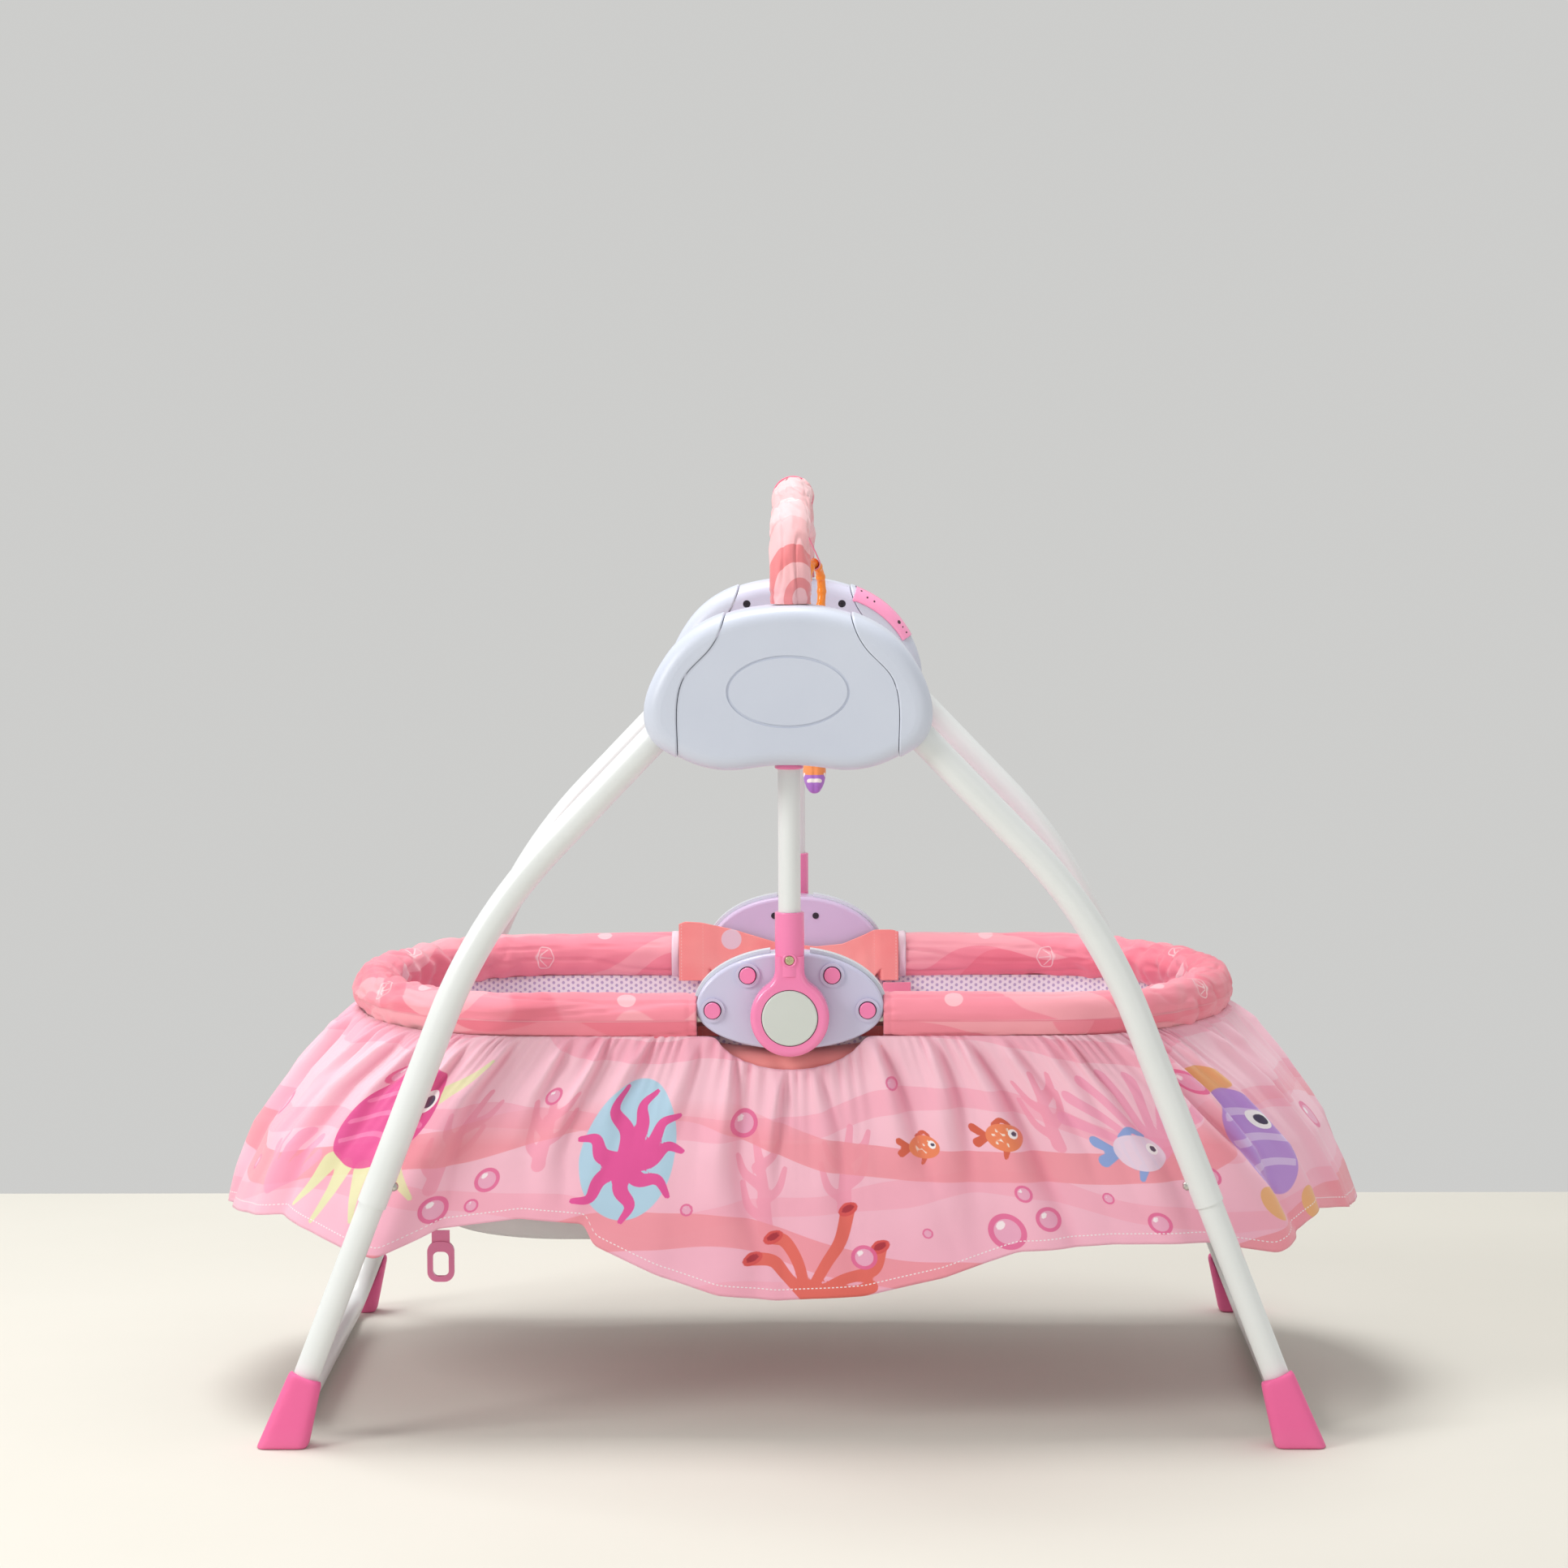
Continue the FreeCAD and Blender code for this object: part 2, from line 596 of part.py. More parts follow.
def hanger(with_magnet):
    """Eye on the pivot shaft with a plug that fills the top of the arm tube."""
    eye = cyl(hanger_r, (0, arm_y - hanger_half_t, axis_z), Y_AXIS, 2 * hanger_half_t)
    plug_r = arm_d / 2 - arm_wall - 0.1
    stem = cyl(plug_r, (0, arm_y, arm_top_z - arm_plug_len), Z_AXIS, arm_plug_len + hanger_r)
    shape = eye.fuse(stem)
    if with_magnet:
        half = magnet_size[1] / 2
        shape = shape.fuse(box((-6, arm_y - half, axis_z), (6, arm_y + half, magnet_z)))
    return shape.cut(cyl(bush_r + 0.02, (0, arm_y - 30, axis_z), Y_AXIS, 60)).removeSplitter()


def arm_tube():
    bottom = socket_top_z - 46
    return cyl(arm_d / 2, (0, arm_y, bottom), Z_AXIS, arm_top_z - bottom).cut(
        cyl(arm_d / 2 - arm_wall, (0, arm_y, bottom), Z_AXIS, arm_top_z - bottom))


def arm_collar():
    ring = cyl(collar_r, (0, arm_y, collar_top_z - collar_t), Z_AXIS, collar_t)
    ring = ring.makeFillet(1.6, [e for e in ring.Edges if len(e.Vertexes) == 1])
    return ring.cut(cyl(arm_d / 2 + 0.05, (0, arm_y, 0), Z_AXIS, 700))


def head_outline():
    """Ring with a flared neck, in the XZ plane."""
    half = neck_d / 2
    centre_gap = head_r + neck_flare_r
    flare_x = half + neck_flare_r
    flare_z = head_z + math.sqrt(centre_gap ** 2 - flare_x ** 2)
    share = head_r / centre_gap
    touch = V(flare_x * share, 0, head_z + (flare_z - head_z) * share)
    a = math.atan2(touch.z - flare_z, touch.x - flare_x)
    mid_a = (a + 2 * math.pi + math.pi) / 2
    mid = V(flare_x + neck_flare_r * math.cos(mid_a), 0, flare_z + neck_flare_r * math.sin(mid_a))
    top = flare_z + 12
    def left(p):
        return V(-p.x, 0, p.z)
    end = V(half, 0, flare_z)
    return Part.Wire([
        Part.LineSegment(V(-half, 0, top), V(half, 0, top)).toShape(),
        Part.LineSegment(V(half, 0, top), end).toShape(),
        Part.Arc(end, mid, touch).toShape(),
        Part.Arc(touch, V(0, 0, head_z - head_r), left(touch)).toShape(),
        Part.Arc(left(touch), left(mid), left(end)).toShape(),
        Part.LineSegment(left(end), V(-half, 0, top)).toShape()])


def arm_socket():
    """Moulded socket: sleeve for the arm tube above, ring for the release cap below."""
    y0, y1 = arm_y - head_t / 2, arm_y + head_t / 2
    head = prism(head_outline(), y0, y1)
    rims = [e for e in head.Edges if abs(e.BoundBox.YLength) < 1e-3 and e.BoundBox.ZMin < arm_screw_z - 2]
    head = head.makeFillet(head_round, rims)
    sleeve_low = head_z + head_r + 2
    sleeve = cyl(neck_d / 2, (0, arm_y, sleeve_low), Z_AXIS, socket_top_z - sleeve_low)
    sleeve = sleeve.makeFillet(1.2, [e for e in sleeve.Edges
                                     if len(e.Vertexes) == 1 and e.BoundBox.ZMin > 440])
    trim = box((-60, y0 - 10, head_z + 30), (60, y1 + 10, head_z + 80))
    neck = head.common(trim)
    head = head.cut(trim).fuse(neck.common(cyl(neck_d / 2 + neck_flare_r, (0, arm_y, head_z), Z_AXIS, 90)))
    shape = head.fuse(sleeve)
    shape = shape.cut(cyl(arm_d / 2 + 0.1, (0, arm_y, socket_top_z - 46), Z_AXIS, 60))
    shape = shape.cut(cyl(cap_r + cap_gap, (0, y1 - cap_pocket, head_z), Y_AXIS, 40))
    shape = shape.cut(cyl(tilt_pin_r + running_gap, (0, 0, head_z), Y_AXIS, 400))
    shape = shape.cut(cyl(arm_screw_head_r + 0.3, (0, arm_y + neck_d / 2 - 2.2, arm_screw_z), Y_AXIS, 20))
    shape = shape.cut(cyl(arm_screw_r + 0.1, (0, arm_y, arm_screw_z), Y_AXIS, 20))
    return solid_of(shape)


def arm_screw():
    """Cross-head screw that fixes the socket to the arm tube."""
    y_head = arm_y + neck_d / 2 - 2.2
    head = cyl(arm_screw_head_r, (0, y_head, arm_screw_z), Y_AXIS, 2.0)
    head = head.makeFillet(0.8, [e for e in head.Edges if e.BoundBox.YMin > y_head + 1.9])
    shank = cyl(arm_screw_r, (0, arm_y + arm_d / 2 - arm_wall + 0.1, arm_screw_z), Y_AXIS,
                y_head - arm_y - arm_d / 2 + arm_wall - 0.1)
    z = arm_screw_z
    cross = box((-2.2, y_head + 1, z - 0.5), (2.2, y_head + 3, z + 0.5))
    cross2 = box((-0.5, y_head + 1, z - 2.2), (0.5, y_head + 3, z + 2.2))
    return head.fuse(shank).cut(cross).cut(cross2)


def release_cap():
    """Round cap that presses into the arm socket."""
    y0 = arm_y + head_t / 2 + cap_proud - cap_t
    cap = cyl(cap_r, (0, y0, head_z), Y_AXIS, cap_t)
    return cap.makeFillet(1.5, [e for e in cap.Edges if e.BoundBox.YMin > y0 + cap_t - 0.1])


def make_swing():
    shaft, bush, collar, screw = pivot_shaft(), pivot_bush(), arm_collar(), arm_screw()
    hole = cyl(arm_screw_r + 0.1, (0, arm_y, arm_screw_z), Y_AXIS, 20)
    arm, socket, cap = arm_tube().cut(hole), arm_socket(), release_cap()
    parts["pivot_shafts"] = Part.makeCompound([shaft, mirrored(shaft)])
    parts["pivot_bushes"] = Part.makeCompound([bush, mirrored(bush)])
    parts["arm_collars"] = Part.makeCompound([collar, mirrored(collar)])
    parts["arm_screws"] = Part.makeCompound([screw, mirrored(screw)])
    parts["arm_hangers"] = Part.makeCompound([hanger(True), mirrored(hanger(False))])
    parts["arm_tubes"] = Part.makeCompound([arm, mirrored(arm)])
    parts["arm_sockets"] = Part.makeCompound([socket, mirrored(socket)])
    parts["rear_release_cap"] = cap
    parts["front_release_cap"] = mirrored(cap)


def make_drive():
    sx, sy, sz = magnet_size
    parts["drive_magnet"] = box((-sx / 2, arm_y - sy / 2, magnet_z), (sx / 2, arm_y + sy / 2, magnet_z + sz))
    coil_z = magnet_z + sz + coil_air
    coil = cyl(coil_r, (0, arm_y, coil_z), Z_AXIS, coil_t)
    parts["drive_coil"] = coil.cut(cyl(2.2, (0, arm_y, coil_z), Z_AXIS, coil_t))
    bx, by, bz = board_size
    board = box((-bx / 2, board_y, badge_z - bz / 2), (bx / 2, board_y + by, badge_z + bz / 2))
    board = board.cut(cyl(shaft_r + 4.6, (0, board_y - 1, axis_z), Y_AXIS, 10))
    for x, z in hub_screw_at:
        board = board.cut(cyl(hub_boss_r + 0.5, (x, board_y - 1, z), Y_AXIS, 10))
    parts["control_board"] = board
    sx, sy, sz = speaker_at
    cone = cyl(speaker_r, (sx, sy, sz), Y_AXIS, speaker_t)
    parts["speaker"] = cone.cut(Part.makeCone(2, speaker_r - 1.5, speaker_t - 2, V(sx, sy + 2, sz), Y_AXIS))


# ---- side plates --------------------------------------------------------------------------------
def plate_wire(grow):
    """Leaf outline: a tall half ellipse above a shallow one."""
    arcs = []
    for rise, start, stop in ((plate_up, 0, 180), (plate_down, 180, 360)):
        big, small = plate_half_w + grow, rise + grow
        e = Part.Ellipse(V(0, 0, 0), big, small)
        arc = Part.ArcOfEllipse(e, math.radians(start), math.radians(stop)).toShape()
        arc.rotate(V(0, 0, 0), X_AXIS, 90)
        arc.translate(V(0, 0, plate_z))
        arcs.append(arc)
    return Part.Wire(arcs)


def plate_hollows(shell):
    """Rim tube ends, button wells and the tilt pin's seat, taken out of a plate shell."""
    for side in (-1, 1):
        shell = shell.cut(cyl(rim_tube_d / 2 + 0.15, (side * rim_end_inside_x, plate_split_y, rim_z),
                              V(side, 0, 0), 60))
    return shell


def button(x, z):
    y0 = plate_out_y + button_proud - button_len
    shape = cyl(button_r, (x, y0, z), Y_AXIS, button_len)
    return shape.makeFillet(1.0, [e for e in shape.Edges if e.BoundBox.YMin > y0 + button_len - 0.1])


def plate_shells():
    """Outer and inner shell of the rear side plate."""
    full = prism(plate_wire(0), plate_in_y, plate_out_y)
    rims = [e for e in full.Edges if abs(e.BoundBox.YLength) < 1e-3]
    full = full.makeFillet(plate_round, rims)
    bosses = [cyl(boss_r, (x, plate_out_y - 1, z), Y_AXIS, 1 + boss_proud) for _, x, z in button_at]
    hollow = prism(plate_wire(-plate_wall), plate_in_y + plate_wall, plate_out_y - plate_wall)
    shell = full.fuse(bosses).cut(hollow)
    core = cyl(tilt_pin_r + 6, (0, plate_in_y + 1, head_z), Y_AXIS, plate_out_y - plate_in_y - 2)
    posts = [cyl(plate_screw_r + 1, (x, plate_in_y + 1, plate_screw_z), Y_AXIS, plate_out_y - plate_in_y - 2)
             for x in plate_screw_x]
    shell = shell.fuse([core] + posts)
    shell = shell.cut(cyl(tilt_pin_r - 2, (0, plate_in_y + 4, head_z), Y_AXIS, 60))
    for _, x, z in button_at:
        shell = shell.cut(cyl(button_r + button_gap, (x, plate_split_y + 1, z), Y_AXIS, 40))
    shell = plate_hollows(shell)
    near = box((-200, plate_split_y, 200), (200, 400, 600))
    return solid_of(shell.common(near)), solid_of(shell.cut(near))


def plate_trims():
    """White strips clipped over the upper edge of a side plate, one each side of the arm."""
    low, high = plate_split_y - trim_w / 2, plate_split_y + trim_w / 2
    band = prism(plate_wire(trim_proud), low, high).cut(prism(plate_wire(0.1), low - 1, high + 1))
    found = []
    for side in (-1, 1):
        ends = sorted((side * trim_from_x, side * 120))
        keep = box((ends[0], 0, plate_z - 14), (ends[1], 400, 460))
        strip = solid_of(band.common(keep))
        strip = strip.cut(cyl(rim_tube_d / 2 + 0.6, (side * rim_end_inside_x, plate_split_y, rim_z),
                              V(side, 0, 0), 60))
        found.append(solid_of(strip))
    return found


def tilt_pin():
    """Shouldered pin, fixed in the plate, that the arm socket turns on."""
    y_end = arm_y + head_t / 2 - cap_pocket - 0.3
    pin = cyl(tilt_pin_r, (0, plate_out_y + 0.05, head_z), Y_AXIS, y_end - plate_out_y - 0.05)
    return pin.fuse(cyl(tilt_pin_r - 2.1, (0, plate_in_y + 4.1, head_z), Y_AXIS, plate_out_y - plate_in_y))


def plate_screws():
    found = []
    for x in plate_screw_x:
        z, y_head = plate_screw_z, plate_in_y - 0.6
        head = cyl(plate_screw_r, (x, y_head, z), Y_AXIS, 1.5)
        slot = box((x - 1.8, y_head - 1, z - 0.4), (x + 1.8, y_head + 0.8, z + 0.4))
        found.append(solid_of(head.cut(slot)))
    return found


def make_plates():
    outer, inner = plate_shells()
    trims, pin, screws = plate_trims(), tilt_pin(), plate_screws()
    for x in plate_screw_x:
        inner = inner.cut(cyl(plate_screw_r + 0.05, (x, plate_in_y - 2, plate_screw_z), Y_AXIS, 2.95))
    back = solid_of(inner)
    parts["rear_side_plate"], parts["front_side_plate"] = outer, mirrored(outer)
    parts["plate_backs"] = Part.makeCompound([back, mirrored(back)])
    for name, x, z in button_at:
        parts[f"rear_{name}_button"] = button(x, z)
        parts[f"front_{name}_button"] = mirrored(button(x, z))
    parts["plate_trims"] = Part.makeCompound(trims + [mirrored(t) for t in trims])
    parts["tilt_pins"] = Part.makeCompound([pin, mirrored(pin)])
    parts["plate_screws"] = Part.makeCompound(screws + [mirrored(s) for s in screws])


# ---- rim, pad, tub, mattress and skirt ----------------------------------------------------------
def oval_points(half_len, half_w, corner_r, end_r):
    """Angle where a corner arc meets an end arc, and where the straight side stops."""
    a = math.asin((half_w - corner_r) / (end_r - corner_r))
    side_x = half_len - end_r + (end_r - corner_r) * math.cos(a)
    return a, side_x


def oval_half(half_len, half_w, z, start_x, corner_r, end_r, side):
    """Path round one end of an oval, from start_x on the rear side to start_x on the front side."""
    a, side_x = oval_points(half_len, half_w, corner_r, end_r)

    def arc(cx, cy, r, deg0, deg1):
        at = [V(side * (cx + r * math.cos(t)), cy + r * math.sin(t), z)
              for t in (deg0, (deg0 + deg1) / 2, deg1)]
        return Part.Arc(*at).toShape()
    quarter = math.pi / 2
    cy = half_w - corner_r
    return Part.Wire([
        Part.LineSegment(V(side * start_x, half_w, z), V(side * side_x, half_w, z)).toShape(),
        arc(side_x, cy, corner_r, quarter, a),
        arc(half_len - end_r, 0, end_r, a, -a),
        arc(side_x, -cy, corner_r, -a, -quarter),
        Part.LineSegment(V(side * side_x, -half_w, z), V(side * start_x, -half_w, z)).toShape()])


def oval(half_len, half_w, z):
    """Closed oval wire."""
    corner_r, end_r = oval_corner_share * half_len, oval_end_share * half_len
    corner_r = min(corner_r, half_w * 0.8)
    halves = [oval_half(half_len, half_w, z, 0, corner_r, end_r, side) for side in (1, -1)]
    edges = halves[0].OrderedEdges + halves[1].OrderedEdges
    return Part.Wire(Part.sortEdges(edges)[0])


def layered(sections):
    """Solid through a stack of ovals given as (z, half length, half width)."""
    return Part.makeLoft([oval(a, b, z) for z, a, b in sections], True, True)


def fabric_bay():
    """Space below both side plates that the fabric dips round."""
    half_w, depth = plate_bay
    e = Part.Wire(Part.Ellipse(V(0, 0, 0), half_w, depth).toShape())
    e.rotate(V(0, 0, 0), X_AXIS, 90)
    e.translate(V(0, 0, plate_z))
    return prism(e, -300, 300)


def make_cradle():
    rims = []
    for name, side in (("left", -1), ("right", 1)):
        rim = oval_half(rim_half_len, plate_split_y, rim_z, rim_end_inside_x, rim_corner_r, rim_end_r, side)
        rims.append(tube(rim, rim_tube_d / 2, rim_wall))
        course = oval_half(rim_half_len, plate_split_y, rim_z, pad_start_x, rim_corner_r, rim_end_r, side)
        pad = swept(course, pad_r).cut(swept(course, rim_tube_d / 2 + pad_gap))
        parts[f"{name}_rim_pad"] = pad
    parts["rim_tubes"] = Part.makeCompound(rims)
    bay = fabric_bay()
    top_z = rim_z - pad_r - soft_gap
    outer = layered([(tub_floor_z, *tub_floor), (top_z, *tub_top)])
    inner = layered([(tub_floor_z + tub_wall, tub_floor[0] - tub_wall, tub_floor[1] - tub_wall),
                     (top_z + 1, tub_top[0] - tub_wall, tub_top[1] - tub_wall)])
    parts["tub"] = solid_of(outer.cut(inner).cut(bay))
    bed_low = tub_floor_z + tub_wall + 0.3
    parts["mattress"] = layered([(bed_low, *mattress_size), (bed_low + mattress_t, *mattress_size)])
    cover = layered(skirt_sections)
    lining = layered([(z, a - skirt_t, b - skirt_t) for z, a, b in skirt_sections])
    hem = Part.BSplineCurve()
    hem.interpolate(Points=[V(x, 0, z) for x, z in hem_line])
    first, last = hem_line[0], hem_line[-1]
    under = Part.makePolygon([V(last[0], 0, last[1]), V(last[0], 0, 60),
                              V(first[0], 0, 60), V(first[0], 0, first[1])])
    below = prism(Part.Wire([hem.toShape()] + under.Edges), -300, 300)
    parts["skirt"] = solid_of(cover.cut(lining).cut(bay).cut(below))


# ---- toy bar and toy ----------------------------------------------------------------------------
def toy_arch(from_z):
    """Path of the toy bar, standing over the cradle in the plane x = 0."""
    corner_r, corner_z = toy_bar_corner_r, toy_bar_bend_z
    inner_y = toy_bar_y - corner_r
    rise = toy_bar_top_z - corner_z
    top_r = (rise ** 2 + inner_y ** 2 - corner_r ** 2) / (2 * (rise - corner_r))
    centre_z = toy_bar_top_z - top_r
    a = math.atan2(corner_z - centre_z, inner_y)

    def arc(cy, cz, r, a0, a1):
        at = [V(0, cy + r * math.cos(t), cz + r * math.sin(t)) for t in (a0, (a0 + a1) / 2, a1)]
        return Part.Arc(*at).toShape()
    start = 0.0
    edges = []
    if from_z < corner_z:
        edges.append(Part.LineSegment(V(0, toy_bar_y, from_z), V(0, toy_bar_y, corner_z)).toShape())
    else:
        start = math.asin((from_z - corner_z) / corner_r)
    edges.append(arc(inner_y, corner_z, corner_r, start, a))
    edges.append(arc(0, centre_z, top_r, a, math.pi - a))
    edges.append(arc(-inner_y, corner_z, corner_r, math.pi - a, math.pi - start))
    if from_z < corner_z:
        edges.append(Part.LineSegment(V(0, -toy_bar_y, corner_z), V(0, -toy_bar_y, from_z)).toShape())
    return Part.Wire(edges)


def make_toy_bar():
    path = toy_arch(toy_bar_foot_z + 0.2)
    parts["toy_bar_tube"] = tube(path, toy_bar_d / 2, 1.0)
    course = toy_arch(toy_sleeve_from_z)
    sleeve = swept(course, toy_sleeve_r).cut(swept(course, toy_bar_d / 2 + 0.3))
    parts["toy_bar_sleeve"] = sleeve
    loop_top = toy_bar_top_z - toy_sleeve_r - 0.2
    loop_low = toy_ring_z + toy_ring_r - toy_ring_wire_r - 3.0
    x0 = toy_x - 4.0
    half = toy_loop_w / 2
    strap = box((x0 - 4, -half, loop_low), (x0 + 12, half, loop_top + 6))
    window = box((x0 - 4 + toy_loop_t, -half - 1, loop_low + toy_loop_t),
                 (x0 + 12 - toy_loop_t, half + 1, loop_top - 4))
    strap = strap.cut(window).cut(swept(course, toy_sleeve_r + 0.2))
    parts["toy_loop"] = solid_of(strap)
    ring = Part.makeTorus(toy_ring_r, toy_ring_wire_r, V(toy_x, 0, toy_ring_z), X_AXIS)
    parts["toy_ring"] = ring
    cord_top = toy_ring_z - toy_ring_r - toy_ring_wire_r - 0.4
    rx, ry, rz = toy_body
    fish = Part.makeSphere(1.0)
    stretch = FreeCAD.Matrix()
    stretch.scale(rx, ry, rz)
    fish = fish.transformGeometry(stretch)
    fish.translate(V(toy_x, 0, toy_body_z))
    cord = cyl(toy_cord_r, (toy_x, 0, toy_body_z), Z_AXIS, cord_top - toy_body_z)
    tail = Part.makeCone(4.0, 15.0, toy_tail_len, V(toy_x, 0, toy_body_z - rz + 6), V(0, 0, -1))
    flat = FreeCAD.Matrix()
    flat.scale(0.4, 1.0, 1.0)
    tail.translate(V(-toy_x, 0, 0))
    tail = tail.transformGeometry(flat)
    tail.translate(V(toy_x, 0, 0))
    parts["plush_fish"] = fish.fuse([cord, tail])


def make_strap_loop():
    """Pull loop on a short strap under the tub."""
    top = tub_floor_z - 0.2
    low = top - strap_len
    half = strap_loop_w / 2
    strap = box((strap_x - 8, strap_y - 1, low), (strap_x + 8, strap_y + 1, top))
    wire = rounded_rect(V(strap_x, 0, low), X_AXIS, Z_AXIS, half, -strap_loop_h, 4, 9)
    hole = rounded_rect(V(strap_x, 0, low), X_AXIS, Z_AXIS, half - 5, -strap_loop_h + 5, -5, 5)
    y0, y1 = strap_y - strap_loop_t / 2, strap_y + strap_loop_t / 2
    loop = prism(wire, y0, y1).cut(prism(hole, y0 - 1, y1 + 1))
    parts["strap_loop"] = loop.fuse(strap)


def export():
    os.makedirs("parts", exist_ok=True)
    for name, shape in sorted(parts.items()):
        for s in shape.Solids:
            if not s.isValid() or s.Volume <= 0:
                print("CHECK", name, s.isValid(), round(s.Volume, 3))
        if len(shape.Solids) == 1:
            shape = shape.Solids[0]
        shape.exportStep(f"parts/{name}.step")
    print(len(parts), "nodes")


make_legs()
make_feet()
make_hubs()
make_swing()
make_drive()
make_plates()
make_cradle()
make_toy_bar()
make_strap_loop()
export()
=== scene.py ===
"""Baby cradle swing: the looks of every piece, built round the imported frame."""

import math

import bpy
import numpy as np
from mathutils import Matrix, Vector, noise
from mathutils.bvhtree import BVHTree


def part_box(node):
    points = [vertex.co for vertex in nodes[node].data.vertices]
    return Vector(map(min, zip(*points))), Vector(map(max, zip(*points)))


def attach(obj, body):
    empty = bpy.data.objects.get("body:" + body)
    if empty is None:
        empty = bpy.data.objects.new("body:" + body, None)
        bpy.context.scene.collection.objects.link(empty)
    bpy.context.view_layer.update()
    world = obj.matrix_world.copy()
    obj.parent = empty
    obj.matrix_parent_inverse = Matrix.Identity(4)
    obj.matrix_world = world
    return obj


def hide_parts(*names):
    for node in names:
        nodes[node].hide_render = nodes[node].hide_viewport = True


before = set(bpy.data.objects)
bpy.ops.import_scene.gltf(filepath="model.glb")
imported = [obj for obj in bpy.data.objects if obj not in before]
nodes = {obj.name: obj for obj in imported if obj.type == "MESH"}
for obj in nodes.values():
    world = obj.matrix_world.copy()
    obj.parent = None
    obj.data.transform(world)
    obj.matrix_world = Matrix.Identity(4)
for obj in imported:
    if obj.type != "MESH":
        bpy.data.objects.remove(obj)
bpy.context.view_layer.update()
MM = 0.001


# ---- The room ------------------------------------------------------------------------------------
# A pale rug under soft studio light, and a camera a little above the hubs that looks slightly down
# at the front frame from four metres away.

class Wire:
    """One shader value, with arithmetic that adds Math nodes."""

    def __init__(self, finish, socket):
        self.finish, self.socket = finish, socket

    def maths(self, operation, *others):
        return self.finish.node("ShaderNodeMath", {"operation": operation}, dict(enumerate((self,) + others)))

    def __add__(self, other):
        return self.maths("ADD", other)

    def __mul__(self, other):
        return self.maths("MULTIPLY", other)

    def __sub__(self, other):
        return self.maths("SUBTRACT", other)

    def __rsub__(self, other):
        return self.maths("MULTIPLY", -1.0).maths("ADD", other)

    def __truediv__(self, other):
        return self.maths("DIVIDE", other)

    __radd__, __rmul__ = __add__, __mul__

    def most(self, other):
        return self.maths("MAXIMUM", other)

    def sine(self):
        return self.maths("SINE")

    def size(self):
        return self.maths("ABSOLUTE")

    def inside(self, edge=0.0, blur=0.0004):
        """1 where a signed distance is under the edge, with a crisp anti-aliased border."""
        return self.finish.node("ShaderNodeMapRange", {"interpolation_type": "SMOOTHSTEP"},
                                {0: self, 1: edge - blur, 2: edge + blur, 3: 1.0, 4: 0.0})

    def spread(self, low, high, to_low=0.0, to_high=1.0):
        return self.finish.node("ShaderNodeMapRange", {}, {0: self, 1: low, 2: high, 3: to_low, 4: to_high})


class Finish:
    """A material whose nodes are added one call at a time."""

    def __init__(self, name, **fixed):
        self.material = bpy.data.materials.new(name)
        self.material.use_nodes = True
        self.tree = self.material.node_tree
        self.shader = self.tree.nodes["Principled BSDF"]
        for key, value in fixed.items():
            self.shader.inputs[key.replace("_", " ")].default_value = value

    def node(self, kind, settings=None, sockets=None, out=0):
        made = self.tree.nodes.new(kind)
        for key, value in (settings or {}).items():
            setattr(made, key, value)
        for key, value in (sockets or {}).items():
            if isinstance(value, Wire):
                self.tree.links.new(value.socket, made.inputs[key])
            else:
                made.inputs[key].default_value = value
        return Wire(self, made.outputs[out])

    def place(self):
        """Position on the piece, in metres."""
        return self.node("ShaderNodeTexCoord", out=3)

    def measure(self, name, out=2):
        """A value stored on the mesh; out 0 or 1 gives a colour or vector."""
        return self.node("ShaderNodeAttribute", {"attribute_name": name}, out=out)

    def parts(self, vector):
        split = self.node("ShaderNodeSeparateXYZ", sockets={0: vector})
        outs = split.socket.node.outputs
        return [Wire(self, outs[i]) for i in range(3)]

    def cloud(self, scale, detail=2.0, vector=None, rough=0.5):
        return self.node("ShaderNodeTexNoise", {}, {"Vector": vector or self.place(), "Scale": scale,
                                                    "Detail": detail, "Roughness": rough})

    def mix(self, share, low, high):
        return self.node("ShaderNodeMix", {"data_type": "RGBA"}, {0: share, 6: low, 7: high}, out=2)

    def wear(self, **wired):
        for key, value in wired.items():
            self.tree.links.new(value.socket, self.shader.inputs[key.replace("_", " ")])
        return self

    def bump(self, height, depth, strength=1.0):
        normal = self.node("ShaderNodeBump", {}, {"Height": height, "Distance": depth, "Strength": strength})
        return self.wear(Normal=normal)


def rgb(r, g, b):
    """Linear colour from the 0-255 display values a paint card gives."""
    return tuple(((c / 255 + 0.055) / 1.055) ** 2.4 if c > 10 else c / 255 / 12.92 for c in (r, g,
                                                                                             b)) + (1.0,)


def new_object(name, mesh):
    piece = bpy.data.objects.new(name, mesh)
    bpy.context.collection.objects.link(piece)
    return piece


def mesh_of(name, points, faces, smooth=True):
    mesh = bpy.data.meshes.new(name)
    mesh.from_pydata([tuple(p) for p in points], [], faces)
    mesh.update()
    if smooth:
        mesh.shade_smooth()
    return mesh


rug_far, rug_near, rug_side = 0.925, -2.6, 2.6
floor = new_object("floor", mesh_of("floor", [(-rug_side, rug_near, 0), (rug_side, rug_near, 0),
                                              (rug_side, rug_far, 0), (-rug_side, rug_far, 0)],
                                    [(0, 1, 2, 3)]))
floor_finish = Finish("pale_floor", Roughness=0.85)
floor_tone = floor_finish.cloud(2.2, 4.0)
floor_finish.wear(Base_Color=floor_finish.mix(floor_tone, rgb(216, 213, 203), rgb(224, 221, 212)))
floor.data.materials.append(floor_finish.material)

world = bpy.data.worlds.new("soft_room")
bpy.context.scene.world = world
world.use_nodes = True
world.node_tree.nodes["Background"].inputs[0].default_value = rgb(232, 232, 230)
world.node_tree.nodes["Background"].inputs[1].default_value = 0.76


